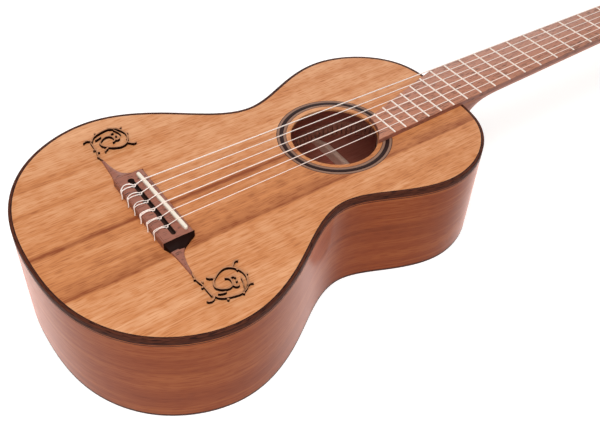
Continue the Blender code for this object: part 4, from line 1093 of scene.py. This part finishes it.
def build_head():
    """The slotted head, bored for the rollers, with eased edges."""
    middle = (SLOT_INNER + SLOT_OUTER) / 2
    half = (SLOT_OUTER - SLOT_INNER) / 2
    slot = obround((SLOT_END - SLOT_START) / 2, half, ((SLOT_START + SLOT_END) / 2, 0))
    loops = [head_outline()] + [[(side * middle + b, a) for a, b in slot] for side in (1, -1)]
    head = plate(loops, -HEAD_THICKNESS, 0)
    ease_edges(head, 0.8 * MM, 3, -HEAD_THICKNESS, 0)
    for side in (1, -1):
        for station in ROLLER_STATIONS:
            ends = sorted(side * x for x in (SLOT_INNER - ROLLER_SEAT - FIT, HEAD_HALF + FIT))
            bore = along_x(plate([circle(ROLLER_RADIUS + FIT, 32, (station, -ROLLER_DEPTH))], *ends))
            head = cut(head, bore)
    add_piece("neck_head", head, "satin mahogany", stands_for=["neck"], slot="neck_wood", place=HEAD_PLACE)


def along_x(shape):
    """Turns a plate so that its height runs along X; its X and Y become Y and Z."""
    shape.transform(Matrix(((0, 0, 1, 0), (1, 0, 0, 0), (0, 1, 0, 0), (0, 0, 0, 1))))
    return shape


def turned(profile, steps=32):
    """A closed solid turned on the Z axis from (height, radius) points."""
    whole = [(0, profile[0][0])] + [(r, z) for z, r in profile] + [(0, profile[-1][0])]
    return spun(whole, steps, closed=False)


def slotted(shape, height, width, depth=0.6 * MM):
    """The same turned screw head with a driver's slot across its top."""
    reach = 4 * MM
    slot = [(-reach, -width), (reach, -width), (reach, width), (-reach, width)]
    return cut(shape, plate([slot], height - depth, height + 1 * MM))


def gear_and_screw():
    """The worm wheel on its journal with the screw that holds it, on the X axis."""
    flank = [(GEAR_RADIUS + rise * MM, half * MM) for rise, half in GEAR_FLANK]
    tooth_form = [(r, -h) for r, h in flank] + [(r, h) for r, h in reversed(flank)]
    sections = []
    for x in np.linspace(-GEAR_WIDTH / 2, GEAR_WIDTH / 2, 5):
        lean = x * WORM_LEAD / (math.tau * WORM_RADIUS) / GEAR_RADIUS
        section = []
        for tooth in range(GEAR_TEETH):
            middle = math.pi + math.tau * tooth / GEAR_TEETH + lean
            for radius, half in tooth_form:
                angle = middle + half / radius
                section.append((GEAR_MIDDLE + x, radius * math.cos(angle), radius * math.sin(angle)))
        sections.append(section)
    end = GEAR_MIDDLE + GEAR_WIDTH / 2 + 0.3 * MM
    screw = turned([
        (HEAD_HALF + GAP, JOURNAL_RADIUS), (end - 0.2 * MM, JOURNAL_RADIUS),
        (end, JOURNAL_RADIUS - 0.2 * MM), (end, 2.4 * MM), (end + 0.8 * MM, 2.3 * MM),
        (end + 1.2 * MM, 1.8 * MM),
    ])
    return join(sweep(sections), along_x(slotted(screw, end + 1.2 * MM, 0.3 * MM)))


def roller_barrel():
    """The bone barrel that takes the string, on the X axis."""
    low, high, ease = SLOT_INNER - ROLLER_SEAT, HEAD_HALF - GAP, 0.4 * MM
    return along_x(turned([
        (low, ROLLER_RADIUS - ease), (low + ease, ROLLER_RADIUS), (high - ease, ROLLER_RADIUS),
        (high, ROLLER_RADIUS - ease),
    ]))


def worm_shaft():
    """The worm with its collar and shaft, on the Z axis and level with the roller."""
    top, low = ROLLER_DEPTH + 1.5 * MM, BUTTON_TOP - 3 * MM
    shaft = turned([
        (low, SHAFT_RADIUS), (-9.4 * MM, SHAFT_RADIUS), (-9.3 * MM, 3 * MM), (-8.7 * MM, 3 * MM),
        (-8.6 * MM, SHAFT_RADIUS), (-WORM_HALF_LENGTH, SHAFT_RADIUS), (-WORM_HALF_LENGTH, WORM_CORE),
        (WORM_HALF_LENGTH, WORM_CORE), (WORM_HALF_LENGTH, SHAFT_RADIUS), (top - 0.4 * MM, SHAFT_RADIUS),
        (top, SHAFT_RADIUS - 0.4 * MM),
    ])
    sections = []
    steps = WORM_STEPS * WORM_TURNS
    for k in range(steps + 1):
        angle = math.pi / 2 + math.tau * k / WORM_STEPS
        lift = WORM_LEAD * (k / WORM_STEPS - WORM_TURNS / 2)
        grown = min(1, 3 * min(k, steps - k) / WORM_STEPS)
        section = []
        for rise, z in THREAD:
            radius = WORM_CORE + rise * grown * MM
            section.append((radius * math.cos(angle), radius * math.sin(angle), lift + z * MM))
        sections.append(section)
    return join(shaft, sweep(sections))


def button():
    """A flat oval button with a round collar, on the worm's shaft."""
    sections = []
    for drop, thick, wide in smooth_curve(BUTTON, 30):
        sections.append([
            (max(thick, 0.3) * MM * math.cos(a), max(wide, 0.3) * MM * math.sin(a), BUTTON_TOP + drop * MM)
            for a in np.linspace(0, math.tau, 32, endpoint=False)
        ])
    return sweep(sections)


def machine_plate():
    """The treble plate, bored for its rollers, with six bearing lugs."""
    middle = (sum(PLATE_SPAN) / 2, -ROLLER_DEPTH)
    loops = [obround((PLATE_SPAN[1] - PLATE_SPAN[0]) / 2, PLATE_HALF, middle)]
    loops += [circle(JOURNAL_RADIUS + FIT, 24, (station, -ROLLER_DEPTH)) for station in ROLLER_STATIONS]
    flat = plate(loops, HEAD_HALF + FIT, PLATE_FACE)
    ease_edges(flat, 0.25 * MM, 2, PLATE_FACE)
    shapes = [along_x(flat)]
    for station in ROLLER_STATIONS:
        u = station - CENTRE_DISTANCE
        outline = [(PLATE_FACE - 0.3 * MM, u + end * LUG_RADIUS) for end in (-1, 1)]
        outline += arc(LUG_RADIUS, LUG_RADIUS, math.pi / 2, -math.pi / 2, 17, (GEAR_MIDDLE, u))
        for n in (-ROLLER_DEPTH - LUG_REACH, -ROLLER_DEPTH + LUG_REACH):
            bore = circle(SHAFT_RADIUS + FIT, 24, (GEAR_MIDDLE, u))
            shapes.append(plate([outline, bore], n - LUG_HALF, n + LUG_HALF))
    return join(*shapes)


def plate_screws():
    """The slotted screws that hold a plate to the head."""
    screws = []
    for number, station in enumerate(PLATE_SCREWS):
        crown = turned([
            (PLATE_FACE + height * MM, radius * MM)
            for height, radius in ((-0.4, 2), (0.15, 2), (0.4, 1.6), (0.5, 0.8))
        ], 24)
        screw = slotted(crown, PLATE_FACE + 0.5 * MM, 0.22 * MM, 0.35 * MM)
        bmesh.ops.rotate(screw, verts=screw.verts, matrix=Matrix.Rotation(0.7 + 1.1 * number, 3, "Z"))
        bmesh.ops.translate(screw, verts=screw.verts, vec=(station, -ROLLER_DEPTH, 0))
        screws.append(along_x(screw))
    return join(*screws)


def build_machines():
    """Two plates with their screws; for each string a roller with its wheel and a worm with its button."""
    for side, name in ((1, "treble"), (-1, "bass")):
        for kind, shape in (("", machine_plate()), ("_screws", plate_screws())):
            if side < 0:
                shape = mirrored(shape)
            add_piece(
                f"plate_{name}{kind}_brass", shape, "polished brass", stands_for=[f"machine_plate_{name}"],
                slot="brass", place=HEAD_PLACE,
            )
    moving = (
        ("barrel_bone", roller_barrel, "roller", "polished bone", "roller_bone"),
        ("wheel_brass", gear_and_screw, "roller", "polished brass", "brass"),
        ("worm_brass", worm_shaft, "worm", "polished brass", "button_brass"),
        ("button_bone", button, "worm", "polished bone", "roller_bone"),
    )
    for index in range(len(STRING_DIAMETERS)):
        side, station = winding_side(index)
        for name, make, body, material, slot in moving:
            shape = make()
            if side < 0:
                shape = mirrored(shape)
            offset = (0, station, -ROLLER_DEPTH)
            if body == "worm":
                offset = (side * GEAR_MIDDLE, station - CENTRE_DISTANCE, -ROLLER_DEPTH)
            add_piece(
                f"{name}_{index + 1}", shape, material, body=f"{body}_{index + 1}",
                stands_for=[f"{body}_{index + 1}"], slot=slot, place=HEAD_PLACE @ Matrix.Translation(offset),
            )


def string_x(index, spacing):
    """The first string is on the treble side."""
    return (2.5 - index) * spacing


def saddle_x(index):
    """The string's place on the saddle, which sits a little to the bass side."""
    return BRIDGE_X + string_x(index, SPACING_SADDLE)


def slanted(points):
    """The outline turned about the saddle's middle, back on the bass side for the thicker strings."""
    turn = Matrix.Rotation(SADDLE_SLANT, 2)
    middle = Vector((BRIDGE_X, SADDLE_Y))
    return [middle + turn @ Vector(p) for p in points]


def prism_along_x(profile, low, high):
    """A bar along X with its outline in Y and Z."""
    return sweep([[(x, y, z) for y, z in profile] for x in (low, high)])


def build_bridge_block():
    """The block with its saddle slot, tie slot, and a recess and a hole for each string."""
    profile = [(y * MM, TOP_Z + z * MM) for y, z in BRIDGE_PROFILE]
    block = prism_along_x(profile, BRIDGE_X - BRIDGE_HALF, BRIDGE_X + BRIDGE_HALF)
    above = TOP_Z + 2 * BRIDGE_HEIGHT
    saddle_slot = slanted(obround(SADDLE_HALF + FIT / 2, (SADDLE_THICKNESS + FIT) / 2, (0, 0)))
    block = cut(block, plate([saddle_slot], TOP_Z + SADDLE_SEAT, above))
    floor = TOP_Z + BRIDGE_HEIGHT - TIE_SLOT_DEPTH
    tie_slot = obround(TIE_SLOT_HALF, (TIE_SLOT[0] - TIE_SLOT[1]) / 2, (BRIDGE_X + 1 * MM, sum(TIE_SLOT) / 2))
    for outline in (tie_slot, circle(TIE_SLOT_END_RADIUS, 24, TIE_SLOT_END)):
        block = cut(block, plate([outline], floor, above))
    for index in range(len(STRING_DIAMETERS)):
        x = saddle_x(index)
        block = cut(block, plate([circle(TIE_RECESS_RADIUS, 24, (x, TIE_RECESS_Y))], floor, above))
        bore = spun(
            [(TIE_HOLE_RADIUS, 0), (TIE_HOLE_RADIUS, TIE_HOLE_LENGTH), (0, TIE_HOLE_LENGTH), (0, 0)], 16,
        )
        bmesh.ops.rotate(bore, verts=bore.verts, matrix=Matrix.Rotation(-math.pi / 2, 3, "X"))
        bmesh.ops.translate(bore, verts=bore.verts, vec=(x, BRIDGE_REAR - FIT, TOP_Z + TIE_HOLE_HEIGHT))
        block = cut(block, bore)
    block.normal_update()
    # Faces sunk into the tie slot take the darker finish as painted shade
    for face in block.faces:
        middle = face.calc_center_median()
        sunk = middle.z < TOP_Z + BRIDGE_HEIGHT - 0.6 * MM and TIE_REGION[0] < middle.y < TIE_REGION[1]
        face.material_index = int(sunk and abs(face.normal.x) < 0.999)
    add_piece(
        "bridge_block", block, "oiled rosewood", "shaded rosewood", stands_for=["bridge"],
        slot="bridge_rosewood",
    )


def whisker():
    """A drawn-out end of the bridge: a scoop below the block, then a thin tapering ridge; the treble scoop is
    later given painted shade.
    """
    sections = []
    low = TOP_Z + GAP
    root = WHISKER[0][0]
    lip = 0.25
    for x, front, rear, tall in smooth_curve(WHISKER, 56):
        flat = 0.3 * math.exp((root - x) / 3)
        ridge = 0.35 * (1 - (x - root) / (WHISKER[-1][0] - root))
        middle = (front + rear) / 2
        edge = tall * (0.5 + 1.5 * flat)
        shoulder = edge + 0.4 * (tall - edge)
        section = (
            (front, 0), (front, edge), (front - lip, shoulder),
            (middle + ridge + flat * (front - middle), tall), (middle - ridge + flat * (rear - middle), tall),
            (rear + lip, shoulder), (rear, edge), (rear, 0),
        )
        sections.append([(x * MM, y * MM, low + max(0, z - 0.1) * MM) for y, z in section])
    return sweep(sections)


def paint_shade_in_hollow(drawn):
    """Paints shade into the scoop under the block's treble end, giving it the second, near-black finish."""
    for face in drawn.faces:
        middle = face.calc_center_median()
        face.material_index = int(middle.x < HOLLOW_END + HOLLOW_LEAN * (middle.y - HOLLOW_Y))


def stroke(points, half_width, height):
    """A sawn line of the scroll: flat on top with eased edges, drawn out to points at both ends."""
    length = sum(math.dist(a, b) for a, b in zip(points, points[1:]))
    steps = max(8, int(length / STROKE_STEP))
    line = smooth_curve([(x * MM, y * MM) for x, y in points], steps)
    along = np.gradient(line, axis=0)
    along /= np.linalg.norm(along, axis=1)[:, None]
    across = np.stack([-along[:, 1], along[:, 0]], axis=1)
    ease = 0.2 * MM
    sections = []
    for k, (point, side) in enumerate(zip(line, across)):
        end = min(k, steps - k) / steps * length
        reach = half_width * MM * (0.45 + 0.55 * min(1.0, end / STROKE_TAPER) ** 0.6)
        section = []
        for offset, lift in (
            (-reach, 0), (-reach, height - ease), (ease - reach, height), (reach - ease, height),
            (reach, height - ease), (reach, 0),
        ):
            spot = point + side * offset
            section.append((spot[0], spot[1], TOP_Z + lift))
        sections.append(section)
    return paint_shade_on_walls(sweep(sections))


def paint_shade_on_walls(shape):
    """Gives the upright faces the piece's second finish, near-black as painted shade."""
    shape.normal_update()
    for face in shape.faces:
        face.material_index = int(face.normal.z < 0.5)
    return shape


def bud(x, y, radius, height):
    """A small knob of the scroll with an eased crown."""
    crown = 0.25 * MM
    profile = [(0, 0), (radius, 0), (radius, height - crown), (radius - crown, height), (0, height)]
    return paint_shade_on_walls(spun(profile, 14, (x, y, TOP_Z), closed=False))


def build_bridge_ends(sizes):
    """The whiskers and the scrolls that they end in."""
    for side, name in ((1, "treble"), (-1, "bass")):
        drawn = whisker()
        forms = [stroke(points, half_width, sizes.scroll_height) for half_width, points in SCROLL_STROKES]
        forms += [bud(x * MM, y * MM, BUD_RADIUS, sizes.scroll_height) for x, y in SCROLL_BUDS]
        scroll = join(*forms)
        # Only the treble scoop gets painted shade; the bass scoop keeps the whisker's finish
        if side < 0:
            drawn, scroll = mirrored(drawn), mirrored(scroll)
        else:
            paint_shade_in_hollow(drawn)
        shift = (BRIDGE_X + side * 0.3 * MM, 0, 0)
        for kind, shape, material, move in (
            ("whisker", drawn, "oiled rosewood", shift), ("scroll", scroll, "sawn rosewood", SCROLL_SHIFT),
        ):
            bmesh.ops.translate(shape, verts=shape.verts, vec=move)
            add_piece(
                f"bridge_{kind}_{name}", shape, material, "scorched rosewood", stands_for=["bridge"],
                slot="bridge_rosewood",
            )


def build_saddle():
    """A bone strip with round ends and a rounded crown."""
    low, high = TOP_Z + SADDLE_SEAT + GAP, TOP_Z + SADDLE_TOP
    saddle = plate([slanted(obround(SADDLE_HALF, SADDLE_THICKNESS / 2, (0, 0)))], low, high)
    ease_edges(saddle, 1.3 * MM, 5, high)
    add_piece("saddle_bone", saddle, "polished bone", stands_for=["saddle"], slot="bone")


def tube(route, radius):
    """A round string along the route."""
    curve = bpy.data.curves.new("route", "CURVE")
    curve.dimensions = "3D"
    curve.bevel_depth = radius
    curve.bevel_resolution = 3
    curve.use_fill_caps = True
    spline = curve.splines.new("POLY")
    spline.points.add(len(route) - 1)
    for point, place in zip(spline.points, route):
        point.co = (*place, 1)
    holder = bpy.data.objects.new("route", curve)
    mesh = bpy.data.meshes.new_from_object(holder)
    shape = bmesh.new()
    shape.from_mesh(mesh)
    bpy.data.objects.remove(holder)
    bpy.data.curves.remove(curve)
    bpy.data.meshes.remove(mesh)
    bmesh.ops.remove_doubles(shape, verts=shape.verts, dist=0.0005 * MM)
    bmesh.ops.recalc_face_normals(shape, faces=shape.faces)
    return shape


def tie_route(index):
    """The string's tie: free tail, over the block, round the string in the slot, back and out of the hole.

    The route is in mm: across from the string's line, along Y and over the top.
    """
    radius = STRING_DIAMETERS[index] / MM / 2
    block, hole = BRIDGE_HEIGHT / MM, TIE_HOLE_HEIGHT / MM
    over, rear = block + radius, BRIDGE_REAR / MM - radius
    left, right = TIE_BULGES[index]
    route = (
        (4, rear - 1.5, 1.2), (3.2, rear - 0.9, hole), (2, rear - 0.5, over - 2),
        (1.4, rear + 0.1, over - 0.4), (1.1, rear + 1.4, over), (right, -16, over + 0.1),
        (right + 0.3, -12.6, over), (1.3, -10.6, over - 0.3), (1.2, -9.2, over - 1),
        (0.3, -8.5, over + 0.3), (-0.8, -9.1, over - 0.7),
        (left * 0.5 - 0.3, -11.4, over - 0.1), (left, -14.5, over), (left * 0.9, -17.5, over),
        (left * 0.3, rear + 1.3, over), (0.1, rear, over - 0.5), (0, rear - 0.2, over - 2),
        (0, rear + 0.1, hole + 0.6), (0, rear + 1.5, hole), (0, -14.5, hole), (0, -10.5, hole + 1),
        (0, -8, block + 0.4),
    )
    return [(saddle_x(index) + across * MM, y * MM, TOP_Z + rise * MM) for across, y, rise in route]


def winding_side(index):
    """Treble strings run to the treble rollers; the outer strings to the rollers nearest the nut."""
    side = 1 if index < 3 else -1
    return side, ROLLER_STATIONS[index if index < 3 else 5 - index]


def winding_points(index):
    """The string's turns on its roller, in the head's frame, from the top of the roller on."""
    side, station = winding_side(index)
    diameter = STRING_DIAMETERS[index]
    radius = ROLLER_RADIUS + FIT + diameter / 2
    landing = WINDING_LANDINGS[ROLLER_STATIONS.index(station)]
    drop = STRING_HEIGHT_NUT + ROLLER_DEPTH
    leave = math.pi - math.atan2(drop, station) - math.acos(radius / math.hypot(station, drop))
    inward = -side if landing > (SLOT_INNER + SLOT_OUTER) / 2 else side
    points = []
    steps = 2 * WINDING_STEPS
    for k in range(steps * WINDING_TURNS + 1):
        angle = leave - math.tau * k / steps
        x = side * landing + inward * (diameter + WINDING_GAP) * k / steps
        points.append((x, station + radius * math.cos(angle), -ROLLER_DEPTH + radius * math.sin(angle)))
    return points


def build_strings():
    """Each string from its free tail at the bridge to its turns on the roller."""
    to_guitar = PLACE.inverted() @ HEAD_PLACE
    for index, diameter in enumerate(STRING_DIAMETERS):
        x, nut_x = saddle_x(index), string_x(index, SPACING_NUT)
        route = list(smooth_curve(tie_route(index), 150))
        crest = SADDLE_Y + (x - BRIDGE_X) * math.tan(SADDLE_SLANT)
        route += [
            (x, crest - 1.2 * MM, TOP_Z + STRING_HEIGHT_SADDLE - 0.1 * MM),
            (x, crest, TOP_Z + STRING_HEIGHT_SADDLE),
        ]
        start = Vector(route[-1])
        end = Vector((nut_x, SCALE_LENGTH + 0.5 * MM, TOP_Z + STRING_HEIGHT_NUT))
        route += [start.lerp(end, t) for t in np.linspace(0.02, 1, 40)]
        route.append((nut_x, HEAD_Y, TOP_Z + STRING_HEIGHT_NUT - 0.1 * MM))
        route += [to_guitar @ Vector(p) for p in winding_points(index)]
        kind = "plain" if index < 3 else "wound"
        add_piece(
            f"string_{index + 1}_run", tube(route, diameter / 2), f"{kind} string",
            stands_for=[f"string_{index + 1}"], slot=f"{kind}_string", sharp=60,
        )


def add_lamp(name, power, size, position, target):
    """A softbox of that size in metres, turned to its target."""
    data = bpy.data.lights.new(name, "AREA")
    data.shape = "RECTANGLE"
    data.size, data.size_y = size
    data.energy = power
    lamp = add_object(name, data)
    lamp.location = position
    lamp.rotation_euler = (Vector(target) - Vector(position)).to_track_quat("-Z", "Y").to_euler()


# Half the floor's width, and how far from the guitar the lamps still light it, in metres
FLOOR_HALF = 6
FLOOR_LIT_REACH = 1.3


def add_floor(stage):
    """A wide pale floor that takes the guitar's shadow.

    Its glow keeps it white, and is stronger where no lamp reaches.
    """
    shape = bmesh.new()
    bmesh.ops.create_grid(shape, x_segments=2, y_segments=2, size=FLOOR_HALF)
    bmesh.ops.translate(shape, verts=shape.verts, vec=(0, 0, BACK_Z - 0.3 * MM))
    floor = add_object("floor", mesh_of("floor", shape))
    made, tree, shader = new_finish("pale floor")
    set_shader(shader, {
        "Base Color": stage.floor, "Roughness": 0.9, "Specular IOR Level": 0.1,
        "Emission Color": (1, 1, 1, 1),
    })
    path = node(tree, "ShaderNodeLightPath")
    seen = node(
        tree, "ShaderNodeMath", {0: path.outputs["Is Camera Ray"], 1: path.outputs["Is Glossy Ray"]},
        operation="MAXIMUM",
    )
    where = node(tree, "ShaderNodeTexCoord").outputs["Object"]
    reach = node(tree, "ShaderNodeVectorMath", {0: where}, operation="LENGTH")
    white = node(
        tree, "ShaderNodeMapRange",
        {
            "Value": reach.outputs["Value"], "From Min": FLOOR_LIT_REACH, "From Max": 2 * FLOOR_LIT_REACH,
            "To Min": stage.floor_glow, "To Max": 1,
        },
    )
    glow = node(tree, "ShaderNodeMath", {0: seen.outputs[0], 1: white.outputs[0]}, operation="MULTIPLY")
    tree.links.new(glow.outputs[0], shader.inputs["Emission Strength"])
    floor.data.materials.append(made)


def add_surround(stage):
    """Even light from all round, which shows white to the camera and nearly so in reflections."""
    world = bpy.data.worlds.new("studio")
    world.use_nodes = True
    tree = world.node_tree
    ground = tree.nodes["Background"]
    path = node(tree, "ShaderNodeLightPath")
    unseen = node(
        tree, "ShaderNodeMapRange",
        {"Value": path.outputs["Is Glossy Ray"], "To Min": stage.surround, "To Max": stage.reflected},
    )
    strength = node(
        tree, "ShaderNodeMath", {0: unseen.outputs[0], 1: path.outputs["Is Camera Ray"]}, operation="MAXIMUM",
    )
    ground.inputs["Color"].default_value = (1, 1, 1, 1)
    tree.links.new(strength.outputs[0], ground.inputs["Strength"])
    bpy.context.scene.world = world


# The camera fitted to the photograph
CAMERA_PLACE = (0.44588, -0.54481, 0.56755)
CAMERA_FORWARD = (-0.56135, 0.43280, -0.70538)
CAMERA_RIGHT = (0.57509, 0.81693, 0.04358)
CAMERA_LENS = 48.29
CAMERA_SHIFT_Y = -0.0029


def add_camera():
    """The photograph's view, level with its horizon and looking down on the bridge."""
    data = bpy.data.cameras.new("camera")
    data.lens = CAMERA_LENS
    data.shift_y = CAMERA_SHIFT_Y
    camera = add_object("camera", data)
    forward = Vector(CAMERA_FORWARD).normalized()
    right = Vector(CAMERA_RIGHT).normalized()
    up = right.cross(forward).normalized()
    turn = Matrix((right, up, -forward)).transposed()
    camera.matrix_world = Matrix.Translation(CAMERA_PLACE) @ turn.to_4x4()
    bpy.context.scene.camera = camera


class GUITAR_OT_stage(bpy.types.Operator):
    """Sets the floor, the lamps, the surround and the camera"""

    bl_idname = "guitar.stage"
    bl_label = "Stage"

    def execute(self, context):
        stage = context.scene.guitar_stage
        add_floor(stage)
        add_surround(stage)
        add_lamp("rim softbox", stage.rim_power, (1.6, 0.5), (-1.25, 0.8, 0.6), (0, -0.2, 0.1))
        add_lamp("overhead softbox", stage.overhead_power, (1.2, 1.2), (0.2, -0.45, 1.8), (0, -0.15, 0))
        add_lamp("front softbox", stage.front_power, (0.8, 0.8), (0.9, -0.95, 1.15), (0, -0.2, 0.05))
        add_camera()
        context.scene.view_settings.view_transform = "Standard"
        return {"FINISHED"}


class GUITAR_OT_body(bpy.types.Operator):
    """Builds the soundboard, ribs, bindings, back and linings, and finishes the blocks and braces"""

    bl_idname = "guitar.body"
    bl_label = "Body"

    def execute(self, context):
        sizes = context.scene.guitar_sizes
        build_soundboard(sizes)
        build_rosette(sizes)
        build_rims(sizes)
        build_back(sizes)
        build_linings(sizes)
        build_neck_block()
        braces = [f"{kind}_brace_{number}" for kind in ("top", "back") for number in (1, 2, 3)]
        refinish("bare spruce", "tail_block", *braces)
        return {"FINISHED"}


class GUITAR_OT_neck(bpy.types.Operator):
    """Builds the shaft, the head, the fingerboard and the frets"""

    bl_idname = "guitar.neck"
    bl_label = "Neck"

    def execute(self, context):
        build_shaft()
        build_nut()
        build_head()
        build_board()
        build_frets(context.scene.guitar_sizes)
        return {"FINISHED"}


class GUITAR_OT_bridge(bpy.types.Operator):
    """Builds the bridge's block, whiskers and scrolls, and the saddle"""

    bl_idname = "guitar.bridge"
    bl_label = "Bridge"

    def execute(self, context):
        build_bridge_block()
        build_bridge_ends(context.scene.guitar_sizes)
        build_saddle()
        return {"FINISHED"}


class GUITAR_OT_strings(bpy.types.Operator):
    """Builds the six strings with their ties and turns"""

    bl_idname = "guitar.strings"
    bl_label = "Strings"

    def execute(self, context):
        build_strings()
        return {"FINISHED"}


class GUITAR_OT_machines(bpy.types.Operator):
    """Builds the machine plates, the rollers with their wheels and the worms with their buttons"""

    bl_idname = "guitar.machines"
    bl_label = "Machines"

    def execute(self, context):
        build_machines()
        return {"FINISHED"}


class GUITAR_PT_panel(bpy.types.Panel):
    """Lists the guitar's settings and operators"""

    bl_label = "Romantic guitar"
    bl_idname = "GUITAR_PT_panel"
    bl_space_type = "VIEW_3D"
    bl_region_type = "UI"
    bl_category = "Guitar"

    def draw(self, context):
        for group in (context.scene.guitar_sizes, context.scene.guitar_colours, context.scene.guitar_stage):
            box = self.layout.box()
            for name in group.bl_rna.properties.keys():
                if name not in ("rna_type", "name"):
                    box.prop(group, name)
        for operator in OPERATORS:
            self.layout.operator(operator.bl_idname)


OPERATORS = (
    GUITAR_OT_stage, GUITAR_OT_body, GUITAR_OT_neck, GUITAR_OT_bridge, GUITAR_OT_strings, GUITAR_OT_machines,
)
CLASSES = (GuitarSizes, GuitarColours, GuitarStage, *OPERATORS, GUITAR_PT_panel)


def register():
    for kind in CLASSES:
        bpy.utils.register_class(kind)
    bpy.types.Scene.guitar_sizes = PointerProperty(type=GuitarSizes)
    bpy.types.Scene.guitar_colours = PointerProperty(type=GuitarColours)
    bpy.types.Scene.guitar_stage = PointerProperty(type=GuitarStage)


def unregister():
    del bpy.types.Scene.guitar_stage
    del bpy.types.Scene.guitar_colours
    del bpy.types.Scene.guitar_sizes
    for kind in reversed(CLASSES):
        bpy.utils.unregister_class(kind)


def main():
    register()
    bpy.ops.guitar.stage()
    bpy.ops.guitar.body()
    bpy.ops.guitar.neck()
    bpy.ops.guitar.bridge()
    bpy.ops.guitar.strings()
    bpy.ops.guitar.machines()


if __name__ == "__main__":
    main()
